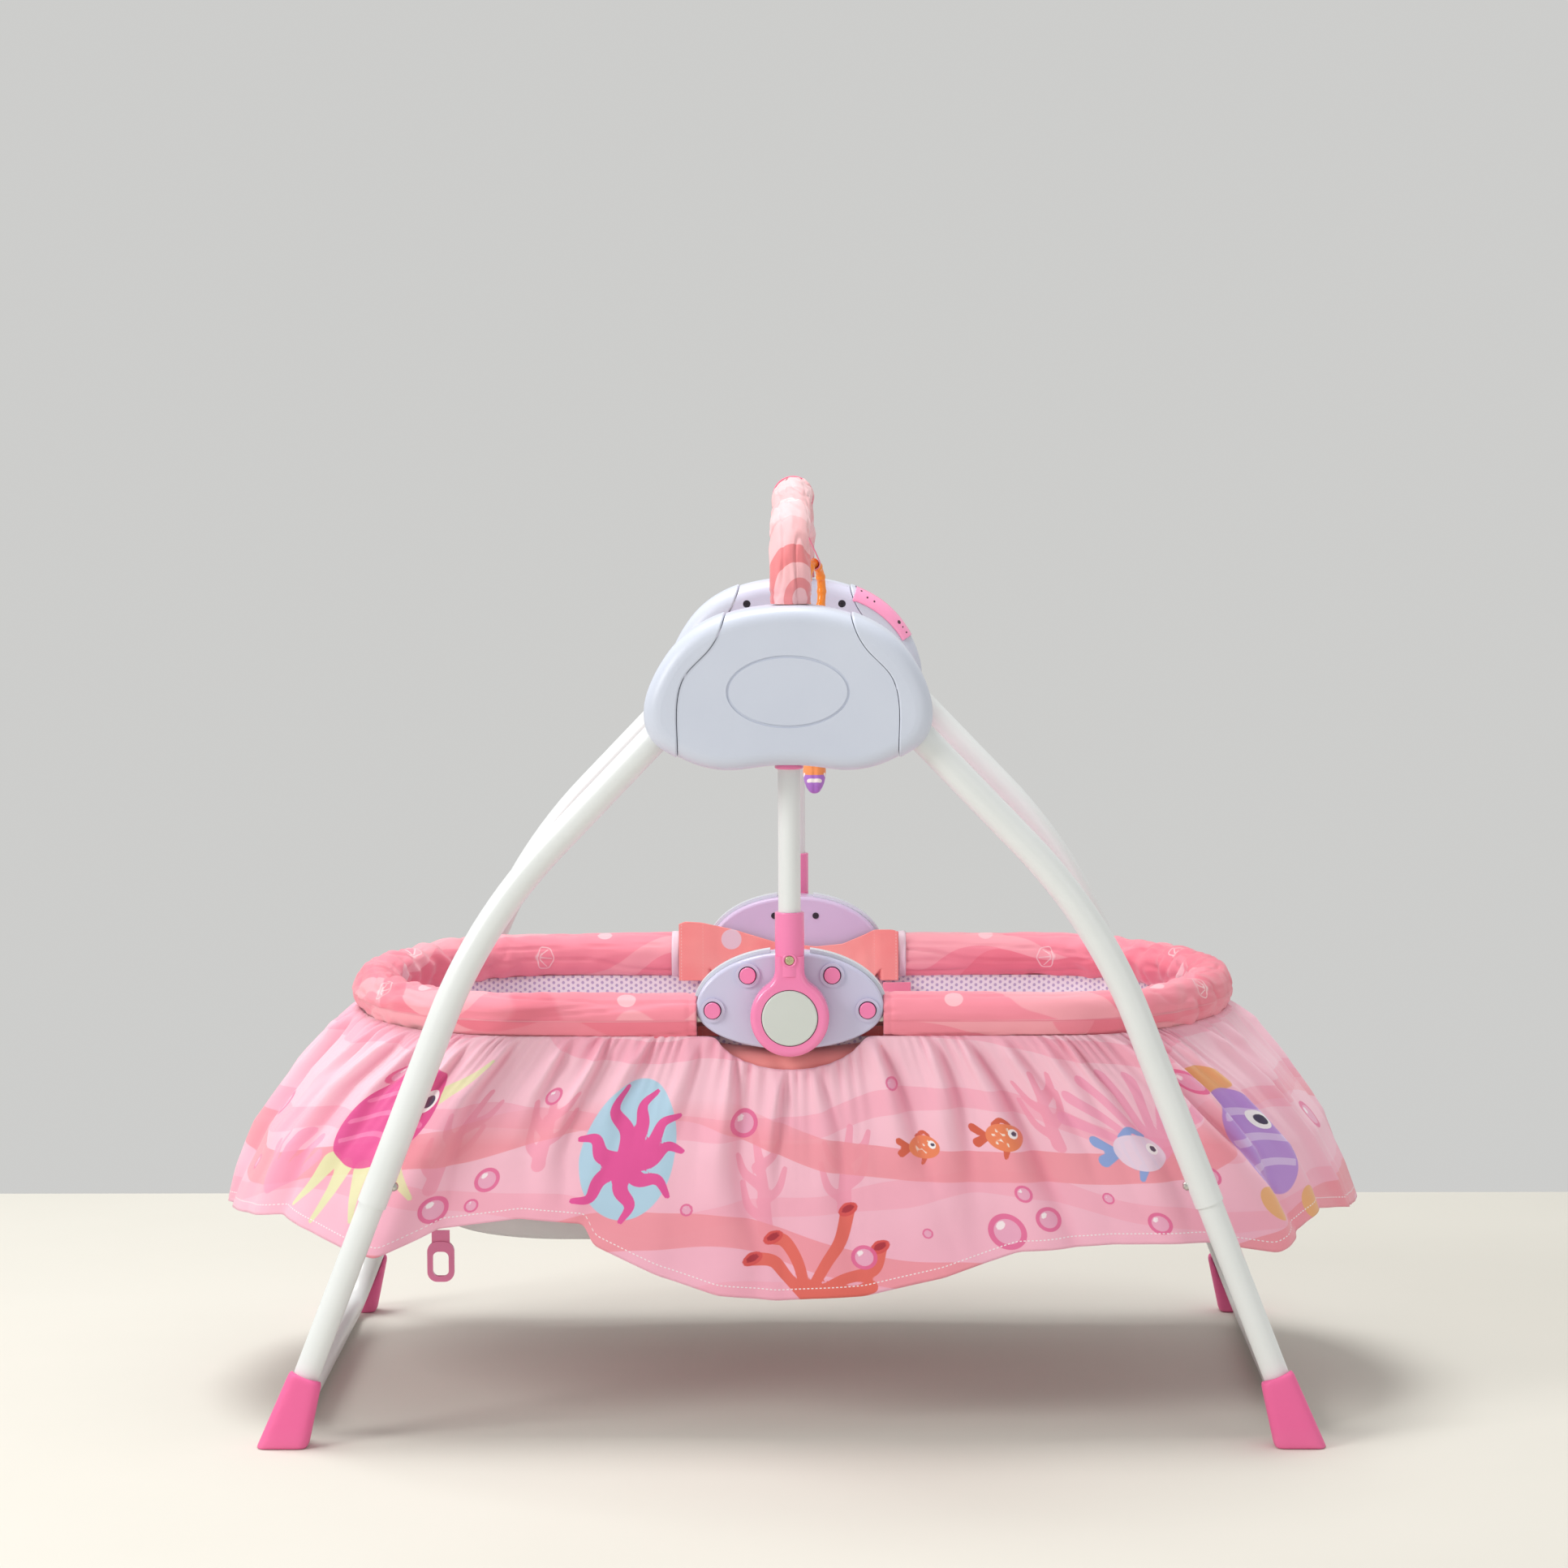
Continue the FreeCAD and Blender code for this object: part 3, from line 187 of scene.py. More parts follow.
def soft_light(name, at, towards, size, watts, colour=(1, 1, 1)):
    light = bpy.data.lights.new(name, "AREA")
    light.shape, light.size, light.energy, light.color = "DISK", size, watts, colour
    lamp = bpy.data.objects.new(name, light)
    bpy.context.collection.objects.link(lamp)
    lamp.location = at
    lamp.rotation_euler = (Vector(towards) - Vector(at)).to_track_quat("-Z", "Y").to_euler()


soft_light("overhead", (-0.6, 0.3, 3.2), (0, 0, 0.3), 1.5, 58)
soft_light("window", (-3.0, -2.2, 2.2), (0, 0, 0.4), 1.6, 66, (1.0, 0.99, 0.97))
soft_light("fill", (3.0, -3.2, 1.6), (0, 0, 0.4), 2.6, 14)

camera_data = bpy.data.cameras.new("camera")
camera_data.lens, camera_data.sensor_width = 103.97, 36.0
camera_data.clip_start, camera_data.clip_end = 0.1, 60
camera = bpy.data.objects.new("camera", camera_data)
bpy.context.collection.objects.link(camera)
yaw, pitch, roll = math.radians(0.744), math.radians(5.04), math.radians(-0.197)
ahead = Vector((-math.sin(yaw) * math.cos(pitch), math.cos(yaw) * math.cos(pitch), -math.sin(pitch)))
level = Vector((math.cos(yaw), math.sin(yaw), 0))
upright = level.cross(ahead)
across = level * math.cos(roll) + upright * math.sin(roll)
upward = upright * math.cos(roll) - level * math.sin(roll)
camera.matrix_world = Matrix((
    (across.x, upward.x, -ahead.x, 0.0452), (across.y, upward.y, -ahead.y, -4.0524),
    (across.z, upward.z, -ahead.z, 0.8955), (0, 0, 0, 1)))
bpy.context.scene.camera = camera
bpy.context.scene.view_settings.view_transform = "Standard"


# ---- Legs, base tubes and swing arms -------------------------------------------------------------
# Bent steel tube with a warm white powder coat.  The coat is satin, with a faint orange peel, and is
# slightly dulled by handling.

def dress(finish, *names):
    """Gives CAD pieces a finish."""
    for name in names:
        mesh = nodes[name].data
        mesh.materials.clear()
        mesh.materials.append(finish.material)


powder = Finish("white_powder_coat", Coat_Weight=0.25, Coat_Roughness=0.22)
peel, haze = powder.cloud(900.0, 2.0), powder.cloud(14.0, 3.0)
powder.wear(Base_Color=powder.mix(haze, rgb(224, 228, 227), rgb(231, 234, 234)),
            Roughness=haze.spread(0.3, 0.7, 0.30, 0.42))
powder.bump(peel, 0.00006, 0.5)
dress(powder, "front_left_leg", "front_right_leg", "rear_left_leg", "rear_right_leg",
      "left_base_tube", "right_base_tube", "arm_tubes")


# ---- Feet ----------------------------------------------------------------------------------------
# Hot pink moulded rubber boots over the bends of the base tubes, matt, with a fine moulded grain and a
# trace of dust low down.

def modify(piece, kind, **settings):
    """Adds a modifier and applies it."""
    made = piece.modifiers.new(kind, kind)
    for key, value in settings.items():
        setattr(made, key, value)
    bpy.context.view_layer.objects.active = piece
    bpy.ops.object.select_all(action="DESELECT")
    piece.select_set(True)
    bpy.ops.object.modifier_apply(modifier=made.name)


boot = Finish("pink_rubber", Specular_IOR_Level=0.35)
grain, smudge = boot.cloud(1400.0, 1.0), boot.cloud(30.0, 4.0)
boot_height = boot.parts(boot.place())[2]
dust = boot_height.spread(0.0, 0.02, 0.22, 0.0) * smudge
boot.wear(Base_Color=boot.mix(dust, rgb(236, 104, 158), rgb(218, 158, 176)),
          Roughness=smudge.spread(0.3, 0.7, 0.50, 0.64))
boot.bump(grain, 0.00008, 0.5)
dress(boot, "feet")
boots = new_object("rubber_boots", nodes["feet"].data.copy())
modify(boots, "REMESH", mode="VOXEL", voxel_size=0.0016)
modify(boots, "SMOOTH", factor=0.5, iterations=26)
at = np.empty(len(boots.data.vertices) * 3)
boots.data.vertices.foreach_get("co", at)
at = at.reshape(-1, 3)
at[:, 2] = np.maximum(at[:, 2] - at[:, 2].min(), 0)
boots.data.vertices.foreach_set("co", at.ravel())
boots.data.materials.clear()
boots.data.materials.append(boot.material)
boots.data.shade_smooth()
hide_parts("feet")
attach(boots, "frame")


# ---- Hub housings --------------------------------------------------------------------------------
# Pale blue-grey ABS shells with a soft satin mould texture.  Each cheek that grips the legs ends in a
# raised, rounded lip over the cover.

def moulded(name, colour, colour_lit, rough, grain_scale=2200.0, grain_depth=0.00003, **fixed):
    finish = Finish(name, **fixed)
    tone, mould = finish.cloud(9.0, 2.0), finish.cloud(grain_scale, 1.0)
    finish.wear(Base_Color=finish.mix(tone.spread(0.35, 0.65), colour, colour_lit),
                Roughness=tone.spread(0.3, 0.7, rough - 0.04, rough + 0.04))
    return finish.bump(mould, grain_depth, 0.5)


hub_shell = moulded("hub_plastic", rgb(203, 209, 224), rgb(208, 214, 228), 0.36)
hub_back_shell = moulded("hub_back_plastic", rgb(206, 206, 226), rgb(211, 211, 230), 0.40)
dress(hub_shell, "front_hub_cover", "rear_hub_cover", "leg_sockets")
dress(hub_back_shell, "front_hub_back", "rear_hub_back")

black_screw = moulded("blackened_screw", rgb(58, 54, 62), rgb(74, 70, 78), 0.42, Metallic=0.7)
dress(black_screw, "hub_screws", "plate_screws")

steel = moulded("bright_steel", rgb(186, 184, 178), rgb(204, 202, 196), 0.26, Metallic=1.0)
dress(steel, "pivot_shafts", "tilt_pins", "toy_bar_tube", "rim_tubes", "front_left_lock_pin",
      "front_right_lock_pin", "rear_left_lock_pin", "rear_right_lock_pin")

brass_screw = moulded("zinc_yellow_screw", rgb(206, 196, 152), rgb(226, 218, 182), 0.28, Metallic=1.0)
dress(brass_screw, "arm_screws")

acetal = moulded("acetal", rgb(222, 222, 216), rgb(232, 232, 226), 0.45)
dress(acetal, "pivot_bushes", "arm_hangers")
black_plastic = moulded("black_plastic", rgb(34, 34, 36), rgb(42, 42, 44), 0.45)
dress(black_plastic, "dc_jack", "speaker")
copper = moulded("copper_winding", rgb(176, 92, 46), rgb(196, 112, 60), 0.3, Metallic=0.9)
dress(copper, "drive_coil")
board = moulded("board_green", rgb(28, 92, 52), rgb(36, 108, 62), 0.4)
dress(board, "control_board")
magnet = moulded("nickel", rgb(150, 150, 152), rgb(168, 168, 170), 0.25, Metallic=1.0)
dress(magnet, "drive_magnet")


# ---- Pink mouldings ------------------------------------------------------------------------------
# Glossy pink ABS: the arm sockets and collars, the plate buttons, the control panel and the strap loop.

def middle(box, axis):
    return (box[0][axis] + box[1][axis]) / 2


def grid_faces(rows, cols, wrap_rows=False, wrap_cols=False):
    i = np.arange(rows if wrap_rows else rows - 1)
    j = np.arange(cols if wrap_cols else cols - 1)
    a, b = np.meshgrid(i, j, indexing="ij")
    a2, b2 = (a + 1) % rows, (b + 1) % cols
    return np.stack([a * cols + b, a2 * cols + b, a2 * cols + b2, a * cols + b2], -1).reshape(-1, 4).tolist()


def store(mesh, name, values):
    """Keeps a number or a vector on each point for the finish to read."""
    values = np.asarray(values, dtype=float)
    if values.ndim == 1:
        mesh.attributes.new(name, "FLOAT", "POINT").data.foreach_set("value", values)
    else:
        mesh.attributes.new(name, "FLOAT_VECTOR", "POINT").data.foreach_set("vector", values.ravel())


pink_gloss = moulded("pink_gloss", rgb(243, 128, 178), rgb(246, 136, 184), 0.20, Coat_Weight=0.3,
                     Coat_Roughness=0.08)
button_names = [f"{row}_{spot}_button" for row in ("front", "rear")
                for spot in ("upper_left", "upper_right", "lower_left", "lower_right")]
dress(pink_gloss, "arm_sockets", "arm_collars", "strap_loop", "control_panel", *button_names)

# The panel's lip wraps over the rounded inner edge of the rear hub, with a row of pinholes for the speaker
# whose dark insides are painted shade.
shoulder_x, shoulder_z, shoulder_r = 0.0275, 0.609, 0.094
hub_inner_y, hub_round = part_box("rear_hub_back")[0][1], 0.013
lip_cols, lip_rows = 120, 26
flat_share, flat_depth = 0.3, 0.0075      # how much of the lip lies flat on top of the hub, and how deep
probe, lip_rise = 0.03, 0.0010
groove_from_edge = 0.0022
sweep = np.radians(np.linspace(71.6, 31.0, lip_cols))
roll_over = np.linspace(0, 1, lip_rows)
bow = np.radians(66) * np.clip((roll_over - flat_share) / 0.7, 0, 1)
hub_skins = [BVHTree.FromPolygons([corner.co for corner in shell.vertices],
                                  [tuple(f.vertices) for f in shell.polygons])
             for shell in (nodes["rear_hub_back"].data, nodes["leg_sockets"].data)]
a, v = np.meshgrid(sweep, np.arange(lip_rows), indexing="ij")
core_r, lip_r = shoulder_r - hub_round, hub_round + 0.0016
core = np.stack([shoulder_x + core_r * np.cos(a),
                 hub_inner_y + hub_round + flat_depth * np.clip(1 - roll_over[v] / flat_share, 0, 1),
                 shoulder_z + core_r * np.sin(a)], -1)
outward = np.stack([np.cos(a) * np.cos(bow[v]), -np.sin(bow[v]), np.sin(a) * np.cos(bow[v])], -1)
rise = np.full(a.shape, lip_r)
for i in range(lip_cols):
    for j in range(lip_rows):
        ray = Vector(outward[i, j])
        for hub_skin in hub_skins:
            struck, _, _, away = hub_skin.ray_cast(Vector(core[i, j]) + ray * probe, -ray)
            if struck is not None:
                rise[i, j] = max(rise[i, j], probe - away + lip_rise)
for _ in range(3):
    rise[1:-1] = np.maximum(rise[1:-1], (rise[:-2] + rise[2:]) / 2)
    rise[:, 1:-1] = np.maximum(rise[:, 1:-1], (rise[:, :-2] + rise[:, 2:]) / 2)
points = core + rise[..., None] * outward
mesh = mesh_of("panel_lip", points.reshape(-1, 3),
               [[i * lip_rows + j, i * lip_rows + j + 1, (i + 1) * lip_rows + j + 1, (i + 1) * lip_rows + j]
                for i in range(lip_cols - 1) for j in range(lip_rows - 1)])
arc_at, roll_at = (a * shoulder_r).ravel(), (bow[v] * lip_r).ravel()
pinholes = [(68.5, 6.0, 1.0), (64.0, 10.0, 1.0), (59.5, 10.0, 1.0), (41.0, 9.0, 1.9), (37.5, 9.0, 0.9),
            (33.8, 9.0, 1.0)]
# Distance to the nearest pinhole, for the painted shade inside the holes.
holes = np.min([np.hypot(arc_at - math.radians(d) * shoulder_r, roll_at - w * MM) - r * MM for d, w,
                r in pinholes], 0)
store(mesh, "painted_hole_shade", holes)
# from_groove is the distance from the line of painted groove shade.
store(mesh, "from_groove", roll_at - groove_from_edge)
lip_gloss = Finish("pink_lip", Coat_Weight=0.3, Coat_Roughness=0.08)
lip_tone = lip_gloss.cloud(9.0, 2.0)
# Painted shade: the insides of the pinholes are painted a dark plum over a shallow bump.
hole_shade = lip_gloss.measure("painted_hole_shade").inside(0.0, 0.00025)
# Painted shade: a darker pink line stands in for the shade of a groove round the lip; the mesh has no groove.
groove_shade = lip_gloss.measure("from_groove").size().inside(0.0005, 0.0003)
lip_gloss.wear(Base_Color=lip_gloss.mix(hole_shade,
                                        lip_gloss.mix(groove_shade, rgb(250, 158, 198), rgb(244, 104, 146)),
                                        rgb(70, 34, 48)),
               Roughness=lip_tone.spread(0.3, 0.7, 0.18, 0.26))
lip_gloss.bump(1.0 - hole_shade, 0.0008, 0.7)
mesh.materials.append(lip_gloss.material)
panel_lip = new_object("panel_lip", mesh)
modify(panel_lip, "SOLIDIFY", thickness=0.0012, offset=0.0)
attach(panel_lip, "frame")

# Each arm socket carries a raised ring round its screw.
screw_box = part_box("arm_screws")
screw_r, screw_z = (screw_box[1][0] - screw_box[0][0]) / 2, middle(screw_box, 2)
for row_name, y in (("front", screw_box[0][1] + 0.0006), ("rear", screw_box[1][1] - 0.0006)):
    a, b = np.meshgrid(np.linspace(0, 2 * math.pi, 64, endpoint=False),
                       np.linspace(0, 2 * math.pi, 16, endpoint=False),
                       indexing="ij")
    reach = screw_r + 0.0014 + 0.0011 * np.cos(b)
    points = np.stack([reach * np.cos(a), y + 0.0011 * np.sin(b), screw_z + reach * np.sin(a)], -1)
    mesh = mesh_of(f"{row_name}_screw_ring", points.reshape(-1, 3), grid_faces(64, 16, True, True))
    mesh.materials.append(pink_gloss.material)
    screw_ring = new_object(f"{row_name}_screw_ring", mesh)
    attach(screw_ring, "swing")

cap_white = moulded("cap_white", rgb(203, 208, 202), rgb(210, 214, 209), 0.24, Coat_Weight=0.2,
                    Coat_Roughness=0.1)
dress(cap_white, "front_release_cap", "rear_release_cap", "power_key", "music_key")


# ---- Side plates ---------------------------------------------------------------------------------
# Lavender outer shells with a harder gloss, violet inner shells, and white strips clipped over the edge.

plate_gloss = moulded("plate_lavender", rgb(202, 200, 226), rgb(208, 206, 231), 0.22, Coat_Weight=0.25,
                      Coat_Roughness=0.1)
dress(plate_gloss, "front_side_plate", "rear_side_plate")
plate_violet = moulded("plate_violet", rgb(208, 187, 219), rgb(214, 194, 224), 0.30)
dress(plate_violet, "plate_backs")
trim_white = moulded("trim_white", rgb(214, 219, 227), rgb(222, 226, 233), 0.28)
dress(trim_white, "plate_trims")


# ---- Rim sleeves ---------------------------------------------------------------------------------
# Printed coral fabric sewn into two sleeves over foam, slid on the rim tubes from plate to plate.  They crease
# across the inside of each end, and a row of stitches closes each mouth.

rim_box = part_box("rim_tubes")
rim_tube_r = (rim_box[1][2] - rim_box[0][2]) / 2
rim_len, rim_wide = rim_box[1][0] - rim_tube_r, rim_box[1][1] - rim_tube_r
rim_z = middle(rim_box, 2)
pad_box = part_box("right_rim_pad")
pad_r, pad_start = (pad_box[1][2] - pad_box[0][2]) / 2, pad_box[0][0] - 0.0085


def quarter(share, length, wide, corner_r, end_r, steps=None):
    """Points and outward directions on a quarter oval, from the middle of the front side to the right end."""
    a = np.arcsin((wide - corner_r) / (end_r - corner_r))
    side = length - end_r + (end_r - corner_r) * np.cos(a)
    first, second = steps or (0.46, 0.77)
    t1 = np.clip(share / first, 0, 1)
    t2 = np.clip((share - first) / (second - first), 0, 1)
    t3 = np.clip((share - second) / (1 - second), 0, 1)
    turn = -math.pi / 2 + t2 * (math.pi / 2 - a) + t3 * a
    x = np.where(share <= first, side * t1, side + corner_r * np.cos(turn))
    y = np.where(share <= first, -wide + 0 * t1, -(wide - corner_r) + corner_r * np.sin(turn))
    x = np.where(share > second, length - end_r + end_r * np.cos(turn), x)
    y = np.where(share > second, end_r * np.sin(turn), y)
    return x, y, np.cos(turn), np.sin(turn)


def around(turns, length, wide, corner_r, end_r, steps=None):
    """The same all the way round: 0 front, 1 right, 2 rear, 3 left, 4 front again."""
    turns = np.mod(turns, 4)
    quad = np.floor(turns).astype(int)
    share = np.where(quad % 2 == 0, turns - quad, 1 - (turns - quad))
    x, y, nx, ny = quarter(share, length, wide, corner_r, end_r, steps)
    flip_x, flip_y = np.where(quad >= 2, -1, 1), np.where((quad == 1) | (quad == 2), -1, 1)
    return x * flip_x, y * flip_y, nx * flip_x, ny * flip_y


def crumple(x, y, z, seed):
    """Smooth noise, about -1 to 1, at many points."""
    flat = np.stack(np.broadcast_arrays(x, y, z), -1)
    shift = Vector((seed * 7.31, seed * 3.17, seed * 5.71))
    return np.array([noise.noise(Vector(p) + shift) for p in flat.reshape(-1, 3)]).reshape(flat.shape[:-1])


# Printed motifs are kept as signed distances in metres on the cloth, so their edges stay sharp.
def ball(p, x, y, r):
    return np.hypot(p[0] - x, p[1] - y) - r


def egg(p, x, y, rx, ry, tilt=0.0):
    c, s = math.cos(tilt), math.sin(tilt)
    u, v = (p[0] - x) * c + (p[1] - y) * s, (p[1] - y) * c - (p[0] - x) * s
    k = np.hypot(u / rx, v / ry)
    return (k - 1) * min(rx, ry)


def stroke(p, points, r0, r1):
    """A brush stroke through a few points, whose radius runs from r0 to r1."""
    points = np.array(points, float)
    t = np.linspace(0, len(points) - 1, 7 * (len(points) - 1) + 1)
    padded = np.vstack([2 * points[0] - points[1], points, 2 * points[-1] - points[-2]])
    i = np.minimum(t.astype(int), len(points) - 2)
    f = (t - i)[:, None]
    a, b, c, d = padded[i], padded[i + 1], padded[i + 2], padded[i + 3]
    line = 0.5 * (2 * b + (c - a) * f + (2 * a - 5 * b + 4 * c - d) * f ** 2 + (3 * b - 3 * c + d - a) * f ** 3)
    radius = np.linspace(r0, r1, len(line))
    best = np.full(p[0].shape, 9.0)
    for k in range(len(line) - 1):
        (x0, y0), (x1, y1) = line[k], line[k + 1]
        along = np.clip(((p[0] - x0) * (x1 - x0) + (p[1] - y0) * (y1 - y0)) / ((x1 - x0) ** 2 + (y1 - y0) ** 2),
                        0, 1)
        r = radius[k] + (radius[k + 1] - radius[k]) * along
        best = np.minimum(best, np.hypot(p[0] - x0 - along * (x1 - x0), p[1] - y0 - along * (y1 - y0)) - r)
    return best


def union(*distances):
    best = distances[0]
    for d in distances[1:]:
        best = np.minimum(best, d)
    return best


def scallop(p, x, y, r, tilt):
    """A scallop shell: the distance to its edge, and the distance to the nearest of its ribs."""
    c, s = math.cos(tilt), math.sin(tilt)
    across, up = (p[0] - x) * c + (p[1] - y) * s, (p[1] - y) * c - (p[0] - x) * s + 0.8 * r
    far, angle = np.hypot(across, up), np.arctan2(across, np.maximum(up, 1e-6))
    edge = np.maximum(far - r * (1.75 * np.cos(0.78 * angle) + 0.05 * np.cos(10 * angle)),
                      (np.abs(angle) - 1.35) * far)
    return edge, far * np.sin(5 * angle) / 5


def scallops(p, *places):
    edge, rib = np.full(p[0].shape, 9.0), np.zeros(p[0].shape)
    for place in places:
        e, r = scallop(p, *place)
        rib = np.where(e < edge, r, rib)
        edge = np.minimum(edge, e)
    return edge, rib


def fabric(name, weave=0.0007, gloss=0.62, depth=0.00012, **fixed):
    """Woven polyester: fine threads along the cloth's own two directions, and a soft sheen."""
    finish = Finish(name, Sheen_Weight=0.35, Sheen_Roughness=0.45, Specular_IOR_Level=0.35, **fixed)
    u, v, _ = finish.parts(finish.measure("cloth", 1))
    turn = 2 * math.pi / weave
    warp, weft = (u * turn).sine(), (v * turn).sine()
    threads = warp * weft
    finish.u, finish.v, finish.cloth = u, v, finish.measure("cloth", 1)
    finish.crease = finish.cloud(60.0, 3.0, finish.cloth)
    finish.bump(threads + finish.crease * 3.0, depth, 0.6)
    finish.wear(Roughness=finish.crease.spread(0.2, 0.8, gloss - 0.06, gloss + 0.06))
    return finish


coral_cloth = fabric("coral_print", gloss=0.52)
swirl = coral_cloth.cloud(7.0, 1.0, coral_cloth.cloth)
stream = (coral_cloth.v * 60.0 + coral_cloth.u * 16.0 + swirl * 9.0).sine()
stream_2 = (coral_cloth.v * 38.0 - coral_cloth.u * 11.0 + swirl * 7.0 + 2.0).sine()
tone = coral_cloth.mix(stream.spread(0.52, 0.56), rgb(247, 142, 160), rgb(250, 166, 178))
tone = coral_cloth.mix(stream_2.spread(0.62, 0.66), tone, rgb(243, 126, 146))
tone = coral_cloth.mix(coral_cloth.measure("ink_pale").inside() * 0.7, tone, rgb(252, 205, 212))
def drawn_shells(finish, tone, colour, share=0.8):
    """White line drawings of shells over the ground of a print."""
    edge, rib = finish.measure("ink_shell"), finish.measure("ink_rib")
    ribs = rib.size().inside(0.00045, 0.0002) * edge.inside(-0.002, 0.0004)
    lines = edge.size().inside(0.0006, 0.0003).most(ribs)
    return finish.mix(lines * share, tone, colour)


coral_cloth.wear(Base_Color=drawn_shells(coral_cloth, tone, rgb(253, 216, 220)))


def sleeve_path(step):
    """Centre line of the right sleeve from its front mouth to its rear mouth, with outward directions."""
    fine = np.linspace(0, 2, 4001)
    x, y, nx, ny = around(fine, rim_len, rim_wide, 0.135, 0.270)
    keep = x >= pad_start - 1e-6
    x, y, nx, ny = x[keep], y[keep], nx[keep], ny[keep]
    run = np.concatenate([[0], np.cumsum(np.hypot(np.diff(x), np.diff(y)))])
    at = np.linspace(0, run[-1], int(run[-1] / step) + 1)
    return at, np.interp(at, run, x), np.interp(at, run, y), np.interp(at, run, nx), np.interp(at, run, ny)


run, sx, sy, snx, sny = sleeve_path(0.0019)
norm = np.hypot(snx, sny)
snx, sny = snx / norm, sny / norm
ring_count = 72
ring_turn = np.linspace(0, 2 * math.pi, ring_count, endpoint=False)
for side_name, side in (("right", 1), ("left", -1)):
    s, turn = np.meshgrid(run, ring_turn, indexing="ij")
    bend = np.interp(run / run[-1], [0.0, 0.2, 0.32, 0.5, 0.68, 0.8, 1.0], [0.05, 0.2, 1, 0.8, 1, 0.2, 0.05])
    bend = bend[:, None]
    inner = np.clip(0.5 - 0.5 * np.cos(turn), 0, 1)
    c, sn = np.cos(turn), np.sin(turn)
    long_folds = crumple(s * 9, c * 1.1, sn * 1.1, 1 + side)
    fold = 1 - np.abs(crumple(s * 15 + turn * 0.5, c * 0.9, sn * 0.9, 4 + side)) * 2
    pucker = np.sin(s * 2 * math.pi / 0.031 + 3.2 * crumple(s * 12, c, sn, 9 + side))
    small = crumple(s * 60, c * 2.6, sn * 2.6, 12 + side)
    valley = np.exp(-(crumple(s * 5 + turn * 0.3, c * 1.3, sn * 1.3, 31 + side) / 0.050) ** 2)
    cross = np.exp(-(crumple(s * 24, c * 0.9, sn * 0.9, 35 + side) / 0.085) ** 2)
    r = pad_r - 0.0010 + 0.0020 * long_folds + 0.0010 * fold * (0.35 + bend) + 0.0003 * small
    r += 0.0018 * bend * inner ** 1.5 * pucker + 0.0006 * bend * pucker
    r -= 0.0016 * valley * (1 - 0.6 * bend) + 0.0020 * cross * np.clip(bend - 0.15, 0, 1)
    mouth = np.minimum(s, run[-1] - s)
    r -= 0.0009 * np.exp(-((mouth - 0.0065) / 0.0016) ** 2)
    r *= 1 - 0.03 * np.exp(-(mouth / 0.004) ** 2)
    r -= 0.0012 * np.exp(-((turn - math.radians(296)) / 0.05) ** 2)
    px = side * (sx[:, None] + snx[:, None] * c * r)
    py = sy[:, None] + sny[:, None] * c * r
    pz = rim_z + 1.03 * sn * r
    grid = np.stack([px, py, pz], -1).reshape(-1, 3)
    faces = grid_faces(len(run), ring_count, wrap_cols=True)
    # Turned-in mouths: each end folds in towards the tube.
    for end, sign in ((0, 1), (len(run) - 1, -1)):
        start, j = len(grid), end
        k = np.arange(ring_count)
        for depth_in, ring_r in ((0.0012, 0.0185), (0.006, 0.0145), (0.012, 0.0092)):
            tx, ty = (sx[1] - sx[0], sy[1] - sy[0]) if end == 0 else (sx[-2] - sx[-1], sy[-2] - sy[-1])
            length = math.hypot(tx, ty)
            shift = np.array([side * tx / length, ty / length, 0]) * depth_in
            grid = np.vstack([grid, np.stack([
                side * (sx[j] + snx[j] * np.cos(ring_turn) * ring_r),
                                              sy[j] + sny[j] * np.cos(ring_turn) * ring_r,
                rim_z + np.sin(ring_turn) * ring_r], -1) + shift])
        rings = [j * ring_count + k] + [start + n * ring_count + k for n in range(3)]
        for a, b in zip(rings, rings[1:]):
            for i in range(ring_count):
                quad = [int(a[i]), int(b[i]), int(b[(i + 1) % ring_count]), int(a[(i + 1) % ring_count])]
                faces.append(quad if sign < 0 else quad[::-1])
    mesh = mesh_of(f"{side_name}_rim_sleeve", grid, faces)
    extra = len(grid) - s.size
    flat_u = np.concatenate([s.ravel(), np.zeros(extra)])
    flat_v = np.concatenate([(turn * pad_r).ravel(), np.zeros(extra)])
    store(mesh, "cloth", np.stack([flat_u + 3.0 * (side < 0), flat_v, 0 * flat_u], -1))
    p = (flat_u, flat_v)
    shell_edge, shell_rib = scallops(p, *[(u0, v0, 0.010, 1.2 * k) for k, (u0, v0) in enumerate((
        (0.11, 0.105), (0.30, 0.016), (0.33, 0.062), (0.52, 0.040), (0.70, 0.066), (0.80, 0.098),
                                                                                                 (0.60,
                                                                                                  0.105)))])
    spots = union(*[ball(p, u0, v0, r0) for u0, v0, r0 in (
        (0.06, 0.020, 0.008), (0.20, 0.095, 0.005), (0.245, 0.030, 0.007), (0.42, 0.100, 0.006),
        (0.47, 0.060, 0.008), (0.62, 0.020, 0.005), (0.76, 0.040, 0.007), (0.86, 0.075, 0.006))])
    store(mesh, "ink_shell", shell_edge)
    store(mesh, "ink_rib", shell_rib)
    store(mesh, "ink_pale", spots)
    mesh.materials.append(coral_cloth.material)
    sleeve = new_object(f"{side_name}_rim_sleeve", mesh)
    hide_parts(f"{side_name}_rim_pad")
    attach(sleeve, "cradle")


# ---- Skirt ---------------------------------------------------------------------------------------
# One long printed panel, gathered on to a tape under the sleeves and hemmed with white thread.  It flares out
# in soft folds, and its hem hangs lower at the middle and at four corners.

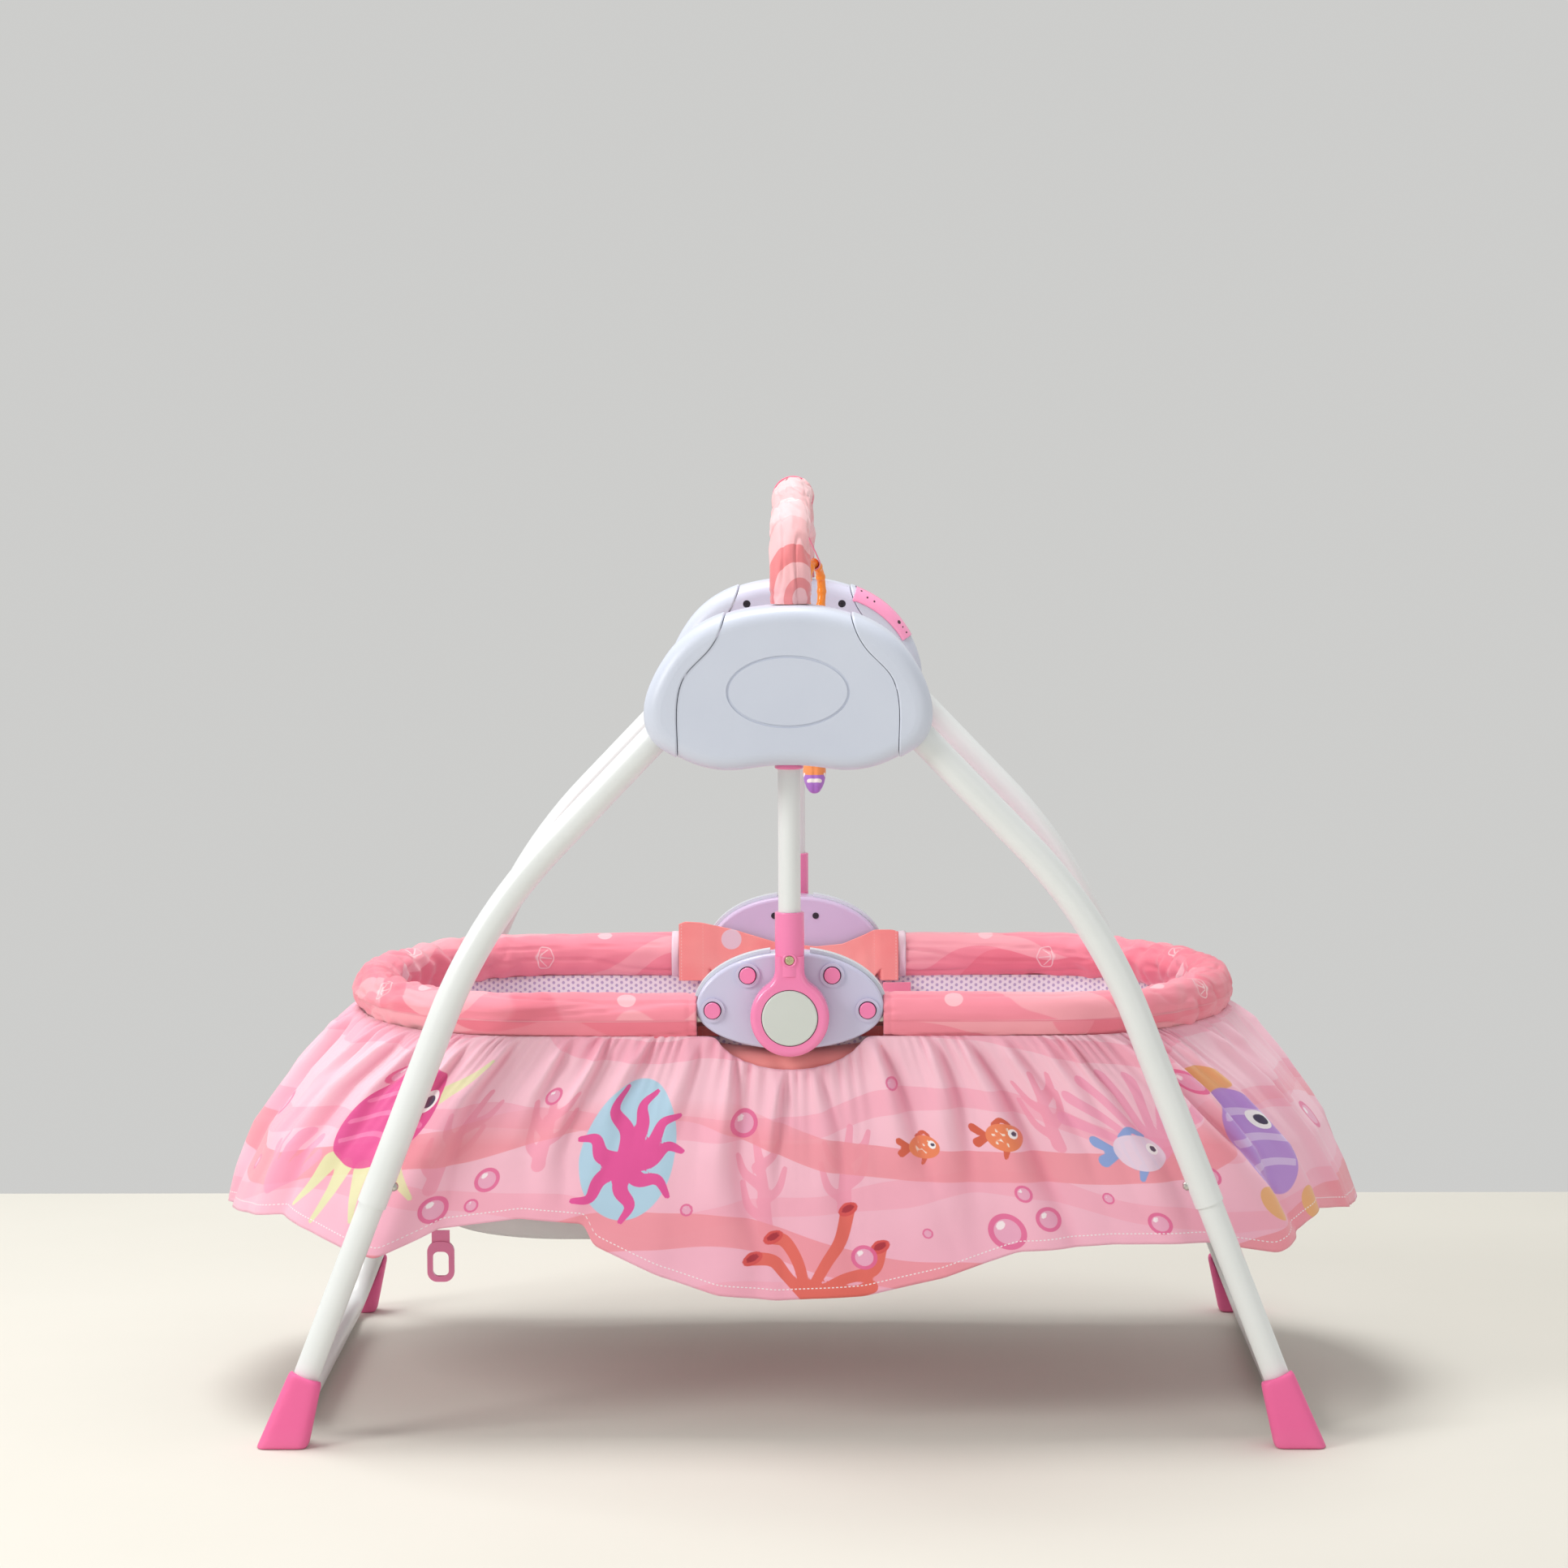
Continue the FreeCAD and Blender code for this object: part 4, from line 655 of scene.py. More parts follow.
skirt_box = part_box("skirt")
seam_z = skirt_box[1][2] + 0.0085
levels = np.array([0.112, 0.160, 0.200, 0.240, 0.292, 0.318, 0.335, 0.3425])
level_len = np.array([0.521, 0.507, 0.492, 0.474, 0.436, 0.4115, 0.3985, 0.3905])
level_wide = np.array([0.2495, 0.2485, 0.2465, 0.2430, 0.2350, 0.2300, 0.2285, 0.2275])
hem_x = np.array([-530, -440, -345, -300, -233, -176, -166, -110, -60, -10, 60, 125, 190, 270, 350, 400, 455,
                  530]) * MM
hem_z = np.array([160, 181, 153, 180, 189, 184, 166, 140, 123, 118, 122, 138, 160, 166, 167, 154, 182,
                  160]) * MM
bay_half, bay_depth, plate_z = 0.094, 0.052, 0.366


def round_ratio(length, wide):
    corner_r = np.minimum(0.36 * length, 0.8 * wide)
    return corner_r, 0.72 * length


cols, rows = 1120, 72
turns = np.linspace(0, 4, cols, endpoint=False)
down = np.linspace(0, 1, rows)
ref_x, ref_y, _, _ = around(turns, 0.478, 0.245, *round_ratio(0.478, 0.245))
ref_run = np.concatenate([[0], np.cumsum(np.hypot(np.diff(ref_x), np.diff(ref_y)))])
quarter_run = ref_run[-1] * cols / (cols - 1) / 4
along = np.where(turns < 2, ref_run, ref_run - 4 * quarter_run)
hem_level = np.interp(ref_x * 1.055, hem_x, hem_z)
for _ in range(3):
    hem_level = (np.roll(hem_level, 1) + 2 * hem_level + np.roll(hem_level, -1)) / 4
seam_level = np.full(cols, seam_z)
near = np.abs(ref_x) < bay_half
seam_level[near] = np.minimum(seam_z, plate_z - bay_depth * np.sqrt(1 - (ref_x[near] / bay_half) ** 2))
for _ in range(10):
    seam_level = (np.roll(seam_level, 1) + 2 * seam_level + np.roll(seam_level, -1)) / 4
Z = seam_level[None, :] + (hem_level - seam_level)[None, :] * down[:, None]
L = np.interp(Z, levels, level_len)
W = np.interp(Z, levels, level_wide)
X, Y, NX, NY = around(np.broadcast_to(turns, Z.shape), L, W, *round_ratio(L, W))
S = np.broadcast_to(along, Z.shape)
drop = seam_level[None, :] - Z
rng = np.random.default_rng(11)
# crease keeps how deep each fold valley and gather is; the finish paints it as a deeper pink, as painted shade
# in the valleys.
fold, crease = np.zeros_like(Z), np.zeros_like(Z)
start = -quarter_run * 2
total = 4 * quarter_run
spots = []
at = start
while at < start + total - 0.02:
    spots.append(at)
    at += rng.uniform(0.030, 0.068)
for place in spots:
    reach = rng.uniform(0.07, 0.24)
    lean = rng.uniform(-0.16, 0.16)
    height = rng.uniform(0.0045, 0.0115)
    width0, width1 = rng.uniform(0.004, 0.008), rng.uniform(0.011, 0.022)
    wander = 0.004 * np.sin(drop * rng.uniform(20, 45) + rng.uniform(0, 6))
    away = np.mod(S - place - lean * drop - wander + total / 2, total) - total / 2
    width = width0 + (width1 - width0) * np.clip(drop / 0.14, 0, 1)
    strength = np.clip(drop / 0.018, 0, 1) * np.clip(1.25 - drop / reach, 0.16, 1)
    dip = np.exp(-((away - 1.15 * width) / (0.42 * width)) ** 2)
    fold += height * strength * (np.exp(-(away / width) ** 2) -
                                 0.30 * np.exp(-((away - 1.7 * width) / width) ** 2))
    fold -= 0.45 * height * strength * dip
    crease = np.maximum(crease, dip * strength * np.exp(-drop / (0.7 * reach)) * height / 0.0115)
gather = np.sin(S * 2 * math.pi / 0.0135 + 2.2 * np.sin(S * 41.0) + 1.4 * np.sin(S * 97.0))
uneven = 0.65 + 0.9 * crumple(S * 28, drop * 3, 0, 23)
fold += 0.0027 * uneven * gather * np.exp(-drop / 0.030) * np.clip(drop / 0.004, 0.2, 1)
crease = np.maximum(crease, 0.8 * np.clip(-gather * uneven, 0, 1) ** 2 * np.exp(-drop / 0.020))
fold += 0.0042 * crumple(S * 9, drop * 7, 0, 21) * np.clip(drop / 0.05, 0, 1)
fold += 0.0012 * crumple(S * 34, drop * 26, 0, 22) * np.clip(drop / 0.02, 0, 1)
end_share = np.clip((np.abs(X) - 0.30) / 0.15, 0, 1)
fold *= 1 + 0.5 * end_share
room = np.clip(0.2560 - W, 0.002, 0.012) + 0.008 * end_share
fold = np.where(fold > room * 0.6, room * (1 - 0.4 * np.exp(-(fold / room - 0.6) / 0.4)), fold)
X, Y = X + NX * fold, Y + NY * fold
points = np.stack([X, Y, Z], -1).reshape(-1, 3)
faces = grid_faces(rows, cols, wrap_cols=True)
mesh = mesh_of("skirt_panel", points, faces)
store(mesh, "cloth", np.stack([S.ravel(), Z.ravel(), 0 * Z.ravel()], -1))
store(mesh, "hem", (Z - hem_level[None, :]).ravel())
store(mesh, "crease", crease.ravel())

# The print repeats once for the front and once for the back; each motif is placed along the cloth.
front = np.abs(S) < quarter_run
P = (np.where(front, S, np.where(S > 0, S - 2 * quarter_run, S + 2 * quarter_run)).ravel(), Z.ravel())


def layer(name, *shapes):
    store(mesh, name, union(*shapes).ravel())


plants = []
for x, z, tall, lean in ((-0.020, 0.178, 0.085, -0.012), (0.044, 0.196, 0.070, 0.010),
                         (-0.300, 0.215, 0.080, 0.012),
                         (0.235, 0.250, 0.060, 0.006), (-0.215, 0.235, 0.060, -0.01)):
    plants.append(stroke(P, [(x, z), (x + lean * 0.3, z + tall * 0.5), (x + lean, z + tall)], 0.0062, 0.0028))
    for k, way in enumerate((-1, 1, -1, 1)):
        base = z + tall * (0.12 + 0.17 * k)
        root = x + lean * (0.1 + 0.2 * k)
        plants.append(stroke(P, [(root, base), (root + way * 0.013, base + 0.010),
                                 (root + way * 0.019, base + 0.031 - 0.003 * k)], 0.0048, 0.0022))
layer("ink_plant", *plants)
fan = [stroke(P, [(0.318, 0.238), (0.318 + 0.045 * math.sin(t), 0.238 + 0.045 * math.cos(t)),
                  (0.318 + 0.072 * math.sin(t * 1.15), 0.238 + 0.070 * math.cos(t))], 0.0030, 0.0058)
       for t in (-1.05, -0.72, -0.38, -0.05, 0.28, 0.62, 0.95)]
fan += [stroke(P, [(-0.455, 0.200), (-0.455 + 0.05 * math.sin(t), 0.200 + 0.05 * math.cos(t))], 0.0032,
               0.0062)
        for t in (-0.8, -0.4, 0.0, 0.4, 0.8)]
layer("ink_fan", *fan)
tubes = [((0.010, 0.122), (-0.004, 0.140), (-0.014, 0.152), (-0.030, 0.154)),
         ((0.012, 0.124), (0.006, 0.150), (-0.004, 0.168), (-0.014, 0.172)),
         ((0.014, 0.124), (0.028, 0.150), (0.040, 0.170), (0.047, 0.196)),
         ((0.016, 0.122), (0.040, 0.136), (0.064, 0.144), (0.071, 0.164)),
         ((0.018, 0.120), (0.034, 0.124), (0.052, 0.126), (0.062, 0.130))]
layer("ink_tube", *[stroke(P, t, 0.0040, 0.0058) for t in tubes])
layer("ink_tube_end", *[egg(P, t[-1][0], t[-1][1], 0.0088, 0.0052, 0.5) for t in tubes[:4]])
layer("ink_tube_hole", *[egg(P, t[-1][0], t[-1][1] + 0.0006, 0.0060, 0.0028, 0.5) for t in tubes[:4]])
layer("ink_pool", egg(P, -0.141, 0.247, 0.041, 0.060, 0.10))
arms = [((-0.141, 0.236), (-0.146, 0.262), (-0.163, 0.280), (-0.158, 0.300)),
        ((-0.141, 0.236), (-0.134, 0.266), (-0.138, 0.284), (-0.128, 0.296)),
        ((-0.141, 0.236), (-0.122, 0.252), (-0.116, 0.270), (-0.102, 0.276)),
        ((-0.141, 0.236), (-0.120, 0.238), (-0.108, 0.250), (-0.094, 0.246)),
        ((-0.141, 0.236), (-0.128, 0.222), (-0.112, 0.222), (-0.102, 0.208)),
        ((-0.141, 0.236), (-0.142, 0.214), (-0.132, 0.200), (-0.138, 0.186)),
        ((-0.141, 0.236), (-0.160, 0.222), (-0.166, 0.206), (-0.180, 0.204)),
        ((-0.141, 0.236), (-0.162, 0.242), (-0.172, 0.256), (-0.186, 0.256))]
layer("ink_arm", *[stroke(P, a, 0.0082, 0.0024) for a in arms])
bubbles = ((-0.042, 0.269, 0.0125), (0.193, 0.210, 0.0075), (0.209, 0.188, 0.0105), (0.174, 0.177, 0.0155),
           (0.298, 0.184, 0.0095), (0.058, 0.155, 0.0105), (-0.255, 0.222, 0.0105), (-0.292, 0.197, 0.0120),
           (-0.262, 0.200, 0.0060), (-0.085, 0.196, 0.0055), (0.355, 0.222, 0.0080), (0.100, 0.303, 0.0060),
           (-0.226, 0.292, 0.0075), (0.402, 0.300, 0.0110), (-0.410, 0.306, 0.0085), (0.110, 0.176, 0.0045),
           (0.262, 0.205, 0.0050), (-0.560, 0.262, 0.0110), (0.560, 0.250, 0.0120), (-0.520, 0.215, 0.0070))
layer("ink_bubble", *[ball(P, x, z, r) for x, z, r in bubbles])
layer("ink_bubble_core", *[ball(P, x, z, r * 0.70) for x, z, r in bubbles])
shine = [egg(P, x - 0.30 * r, z + 0.34 * r, 0.30 * r, 0.20 * r, 0.8) for x, z, r in bubbles]
layer("ink_shine", *shine)


def fish(x, z, size, tilt=0.0):
    """Body, fins and tail of a plain little fish that swims to the right."""
    body = egg(P, x, z, size, size * 0.72, tilt)
    tail = union(stroke(P, [(x - size * 0.9, z), (x - size * 1.55, z + size * 0.42)], size * 0.16,
                        size * 0.24),
                 stroke(P, [(x - size * 0.9, z), (x - size * 1.55, z - size * 0.34)], size * 0.16,
                        size * 0.24))
    fins = union(stroke(P, [(x - size * 0.35, z + size * 0.62), (x + size * 0.1, z + size * 0.92),
                            (x + size * 0.5, z + size * 0.66)], size * 0.16, size * 0.10),
                 stroke(P, [(x - size * 0.1, z - size * 0.62), (x - size * 0.3, z - size * 1.05)],
                        size * 0.18, size * 0.10))
    return body, union(tail, fins)


def fish_spots(x, z, size):
    return [ball(P, x + size * a, z + size * b, size * 0.10) for a, b in (
        (-0.55, 0.1), (-0.3, 0.36), (-0.25, -0.12), (0.0, 0.14), (0.05, -0.38), (0.3, 0.40), (-0.5, -0.28))]


little = [(0.117, 0.249, 0.0135), (0.190, 0.258, 0.0165)]
shapes = [fish(*f, 0.1) for f in little]
layer("ink_orange", *[s[0] for s in shapes])
layer("ink_rust", *[s[1] for s in shapes])
eyes = [(x + r * 0.52, z + r * 0.16, r * 0.26) for x, z, r in little]
eyes += [(0.3145, 0.2470, 0.0048), (0.4400, 0.2640, 0.0085), (-0.3480, 0.2860, 0.0100)]
layer("ink_spot", *[d for f in little for d in fish_spots(*f)])
layer("ink_eye", *[ball(P, *eye) for eye in eyes])
layer("ink_pupil", *[ball(P, x + 0.2 * r, z, 0.55 * r) for x, z, r in eyes])
blue_body, blue_fins = fish(0.302, 0.244, 0.0215)
layer("ink_milk", blue_body)
layer("ink_blue", blue_fins, *[stroke(P, [(0.302 + d, 0.257), (0.300 + d, 0.244), (0.302 + d, 0.231)],
                                      0.0020, 0.0012) for d in (-0.010, 0.0, 0.010)])
violet_body = egg(P, 0.425, 0.246, 0.030, 0.047, -0.25)
layer("ink_violet", violet_body)
layer("ink_lilac", *[np.maximum(violet_body + 0.002,
                                stroke(P, [(0.390, z0), (0.425, z0 + 0.006), (0.462, z0)],
                                                          0.0032, 0.0032)) for z0 in (0.222, 0.244, 0.266)])
layer("ink_amber", egg(P, 0.428, 0.300, 0.022, 0.011, 0.2), egg(P, 0.398, 0.196, 0.012, 0.016, 0.5),
      egg(P, 0.446, 0.190, 0.010, 0.015, -0.4), egg(P, 0.412, 0.224, 0.0085, 0.0055, 0.0))
rose_body = egg(P, -0.375, 0.272, 0.042, 0.044, 0.2)
layer("ink_rose", rose_body)
layer("ink_rose_rib", *[np.maximum(rose_body + 0.003,
                                   stroke(P, [(-0.410, z0), (-0.375, z0 + 0.010), (-0.338, z0)],
                                                           0.0022, 0.0022)) for z0 in (0.248, 0.266, 0.284)])
layer("ink_leaf", *[stroke(P, pts, 0.0085, 0.0020) for pts in (
    ((-0.402, 0.232), (-0.410, 0.212), (-0.424, 0.192)), ((-0.386, 0.228), (-0.388, 0.206), (-0.396, 0.180)),
    ((-0.366, 0.228), (-0.362, 0.208), (-0.356, 0.184)), ((-0.346, 0.238), (-0.332, 0.222), (-0.314, 0.206)),
    ((-0.338, 0.292), (-0.322, 0.306), (-0.312, 0.322)))])

print_cloth = fabric("skirt_print", gloss=0.58)
cloth = print_cloth
warp_1 = cloth.cloud(3.2, 1.5, cloth.cloth)
warp_2 = cloth.cloud(6.0, 1.0, cloth.cloth)
band = (cloth.v * 62.0 + (cloth.u * 9.0).sine() * 1.5 + warp_1 * 8.0 + 0.6).sine()
band_2 = (cloth.v * 88.0 - (cloth.u * 13.0).sine() * 1.2 + warp_2 * 6.0).sine()
low_area = cloth.v.spread(0.30, 0.20)
tone = cloth.mix(cloth.v.spread(0.16, 0.30), rgb(249, 184, 206), rgb(251, 200, 216))
tone = cloth.mix(band_2.spread(0.66, 0.69) * 0.75, tone, rgb(248, 172, 194))
tone = cloth.mix(cloth.measure("ink_plant").inside() * 0.85, tone, rgb(246, 158, 184))
tone = cloth.mix(band.spread(0.60, 0.63) * low_area.spread(0.1, 0.5) * 0.9, tone, rgb(244, 152, 166))
tone = cloth.mix(cloth.measure("ink_fan").inside() * 0.8, tone, rgb(246, 158, 190))
for ink, colour, share in (
        ("ink_tube", rgb(232, 108, 98), 1.0), ("ink_tube_end", rgb(222, 84, 84), 1.0),
        ("ink_tube_hole", rgb(176, 48, 62), 1.0), ("ink_pool", rgb(176, 214, 236), 0.95),
        ("ink_arm", rgb(232, 84, 158), 1.0), ("ink_leaf", rgb(228, 230, 178), 0.9),
        ("ink_rose", rgb(226, 74, 148), 0.95), ("ink_rose_rib", rgb(240, 128, 178), 0.9),
        ("ink_amber", rgb(240, 178, 120), 0.95), ("ink_violet", rgb(188, 146, 222), 0.95),
        ("ink_lilac", rgb(222, 196, 238), 0.9), ("ink_blue", rgb(136, 168, 226), 0.95),
        ("ink_milk", rgb(238, 216, 236), 0.95), ("ink_rust", rgb(216, 98, 74), 1.0),
        ("ink_orange", rgb(238, 134, 92), 1.0), ("ink_spot", rgb(250, 236, 224), 1.0),
        ("ink_eye", rgb(252, 248, 250), 1.0), ("ink_pupil", rgb(74, 66, 92), 1.0),
        ("ink_bubble", rgb(232, 104, 156), 0.9), ("ink_bubble_core", rgb(240, 176, 204), 0.9),
        ("ink_shine", rgb(255, 244, 248), 0.9)):
    tone = cloth.mix(cloth.measure(ink).inside() * share, tone, colour)
hem_gap = (cloth.measure("hem") - 0.009).size()
stitch = hem_gap.inside(0.00045, 0.0002) * (cloth.u * (2 * math.pi / 0.0032)).sine().spread(-0.3, 0.0)
tone = cloth.mix(stitch, tone, rgb(250, 236, 240))
# Painted shade: fold valleys and gathers are darkened to a deeper pink by the crease value.
tone = cloth.mix(cloth.measure("crease").spread(0.05, 0.9) * 0.55, tone, rgb(232, 112, 146))
cloth.wear(Base_Color=tone)
mesh.materials.append(print_cloth.material)
skirt = new_object("skirt_panel", mesh)
modify(skirt, "SOLIDIFY", thickness=0.0009, offset=-1.0)
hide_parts("skirt")
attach(skirt, "cradle")


# ---- Tub and mattress ----------------------------------------------------------------------------
# The tub is spacer mesh, white over lilac with a hexagon of holes, sewn to a padded grey floor pan.  A thin
# foam mattress in a printed cover lies in it.

tub_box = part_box("tub")
mesh_cloth = fabric("spacer_mesh", weave=0.0011, gloss=0.7)
hole = 0.0046
cu, cv = mesh_cloth.u * (2 * math.pi / hole), mesh_cloth.v * (2 * math.pi / hole / 1.155)
dots = cu.maths("COSINE") + (cu * 0.5 + cv * 0.866 * 1.155).maths("COSINE") + \
    (cu * 0.5 - cv * 0.866 * 1.155).maths("COSINE")
holes = dots.spread(0.55, 1.1)
mesh_cloth.wear(Base_Color=mesh_cloth.mix(holes, rgb(240, 230, 240), rgb(190, 172, 208)))
mesh_cloth.bump(1.0 - holes, 0.0007, 0.8)
pan_cloth = fabric("floor_pan", gloss=0.6)
pan_cloth.wear(Base_Color=pan_cloth.mix(pan_cloth.crease, rgb(226, 224, 226), rgb(234, 232, 234)))
sheet_cloth = fabric("mattress_cover", gloss=0.62)
sheet_tone = (sheet_cloth.v * 50.0 + sheet_cloth.cloud(5.0, 1.0, sheet_cloth.cloth) * 9.0).sine()
sheet_cloth.wear(Base_Color=sheet_cloth.mix(sheet_tone.spread(0.55, 0.6), rgb(244, 190, 208),
                                            rgb(242, 164, 186)))

tub_cols = 480
tub_turns = np.linspace(0, 4, tub_cols, endpoint=False)
tub_top_z, tub_low_z = tub_box[1][2] + 0.004, tub_box[0][2] + 0.0015
wall = [(tub_top_z - (tub_top_z - tub_low_z - 0.012) * k / 30, 1 - k / 30 * 0.97) for k in range(31)]
L0, L1, W0, W1 = 0.366, 0.321, 0.202, 0.149
rows_xyz, cloth_uv = [], []
for n, (z, share) in enumerate(wall):
    length, wide = L1 + (L0 - L1) * share, W1 + (W0 - W1) * share
    x, y, nx, ny = around(tub_turns, length, wide, *round_ratio(length, wide))
    if n == 0:
        tub_run = np.concatenate([[0], np.cumsum(np.hypot(np.diff(x), np.diff(y)))])
    slack = 0.0022 * crumple(tub_run * 8, z * 12, 0, 31) * math.sin(math.pi * min(1, n / 30)) - \
        0.0020 * math.sin(math.pi * n / 30)
    rows_xyz.append(np.stack([x + nx * slack, y + ny * slack, np.full_like(x, z)], -1))
    cloth_uv.append(np.stack([tub_run, np.full_like(x, z), 0 * x], -1))
for k in range(1, 7):
    a = k / 6 * math.pi / 2
    inset, z = 0.012 * (1 - math.cos(a)), tub_low_z + 0.012 * (1 - math.sin(a))
    x, y, _, _ = around(tub_turns, L1 - inset, W1 - inset, *round_ratio(L1 - inset, W1 - inset))
    rows_xyz.append(np.stack([x, y, np.full_like(x, z)], -1))
    cloth_uv.append(np.stack([tub_run, np.full_like(x, z), 0 * x], -1))
for k in range(1, 15):
    share = 1 - k / 15 * 0.98
    x, y, _, _ = around(tub_turns, (L1 - 0.012) * share, (W1 - 0.012) * share,
                        *round_ratio((L1 - 0.012) * share, (W1 - 0.012) * share))
    rows_xyz.append(np.stack([x, y, np.full_like(x, tub_low_z)], -1))
    cloth_uv.append(np.stack([x, y, 0 * x], -1))
points = np.concatenate(rows_xyz)
faces = grid_faces(len(rows_xyz), tub_cols, wrap_cols=True)
last = (len(rows_xyz) - 1) * tub_cols
faces.append([last + i for i in range(tub_cols)])
mesh = mesh_of("tub_liner", points, faces)
store(mesh, "cloth", np.concatenate(cloth_uv))
mesh.materials.append(mesh_cloth.material)
mesh.materials.append(pan_cloth.material)
pan_from = 28 * tub_cols
for face in mesh.polygons:
    face.material_index = 1 if min(face.vertices) >= pan_from else 0
tub_piece = new_object("tub_liner", mesh)
modify(tub_piece, "SOLIDIFY", thickness=0.0022, offset=0.0)
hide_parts("tub")
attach(tub_piece, "cradle")


def swell(piece, cap, pressure=4.0, voxel=0.006):
    """Inflates a closed cover with cloth simulation, and keeps each point within a cap of where it was."""
    modify(piece, "REMESH", mode="VOXEL", voxel_size=voxel)
    before = np.empty(len(piece.data.vertices) * 3)
    piece.data.vertices.foreach_get("co", before)
    cloth_mod = piece.modifiers.new("Cloth", "CLOTH")
    cloth_mod.settings.use_pressure = True
    cloth_mod.settings.uniform_pressure_force = pressure
    cloth_mod.settings.effector_weights.gravity = 0.0
    for step in range(1, 21):
        bpy.context.scene.frame_set(step)
    bpy.context.view_layer.objects.active = piece
    bpy.ops.object.select_all(action="DESELECT")
    piece.select_set(True)
    bpy.ops.object.modifier_apply(modifier=cloth_mod.name)
    bpy.context.scene.frame_set(1)
    after = np.empty_like(before)
    piece.data.vertices.foreach_get("co", after)
    moved = (after - before).reshape(-1, 3)
    far = np.linalg.norm(moved, axis=1, keepdims=True)
    moved *= np.minimum(1, cap / np.maximum(far, 1e-9))
    piece.data.vertices.foreach_set("co", (before.reshape(-1, 3) + moved).ravel())
    modify(piece, "SUBSURF", levels=1)


bed_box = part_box("mattress")
bed_len, bed_wide = bed_box[1][0], bed_box[1][1]
bed_low, bed_high = bed_box[0][2] + 0.003, bed_box[1][2] - 0.003
bed_rows = []
bed_turns = np.linspace(0, 4, 160, endpoint=False)
for z, inset in ((bed_low, 0.008), (bed_low + 0.003, 0.004), (bed_high - 0.003, 0.004), (bed_high, 0.008)):
    x, y, _, _ = around(bed_turns, bed_len - inset, bed_wide - inset,
                        *round_ratio(bed_len - inset, bed_wide - inset))
    bed_rows.append(np.stack([x, y, np.full_like(x, z)], -1))
points = np.concatenate(bed_rows)
faces = grid_faces(4, 160, wrap_cols=True)
faces = [f[::-1] for f in faces] + [list(range(160))[::-1], list(range(480, 640))]
mattress = new_object("mattress_pad", mesh_of("mattress_pad", points, faces))
swell(mattress, 0.006)
count = len(mattress.data.vertices)
at = np.empty(count * 3)
mattress.data.vertices.foreach_get("co", at)
at = at.reshape(-1, 3)
quilt = np.minimum(np.abs(np.mod(at[:, 0] + 0.045, 0.09) - 0.045),
                   np.abs(np.mod(at[:, 1] + 0.045, 0.09) - 0.045))
top = at[:, 2] > middle(bed_box, 2)
at[:, 2] -= np.where(top, 0.0028 * np.exp(-(quilt / 0.007) ** 2), 0)
mattress.data.vertices.foreach_set("co", at.ravel())
store(mattress.data, "cloth", at)
mattress.data.materials.clear()
mattress.data.materials.append(sheet_cloth.material)
mattress.data.shade_smooth()
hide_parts("mattress")
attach(mattress, "cradle")


# ---- Side flaps ----------------------------------------------------------------------------------
# A coral flap is sewn inside each side plate.  It hangs from two stitched tabs over the sleeve
# mouths, sags between them, and passes out under the plate to meet the skirt.  A white band holds
# each rear sleeve next to its tab.

inner_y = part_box("rear_side_plate")[0][1] - 0.0225
flap_cloth = fabric("flap_coral", gloss=0.6)
shade = flap_cloth.cloud(16.0, 2.0, flap_cloth.cloth).spread(0.35, 0.65)
tone = flap_cloth.mix(shade, rgb(253, 148, 145), rgb(255, 166, 161))
tone = flap_cloth.mix(flap_cloth.measure("ink_pale").inside(), tone, rgb(236, 208, 220))
row = flap_cloth.measure("seam").size().inside(0.00045, 0.0002) * \
    (flap_cloth.v * (2 * math.pi / 0.0030)).sine().spread(-0.3, 0.0)
flap_cloth.wear(Base_Color=flap_cloth.mix(row, tone, rgb(255, 214, 206)))

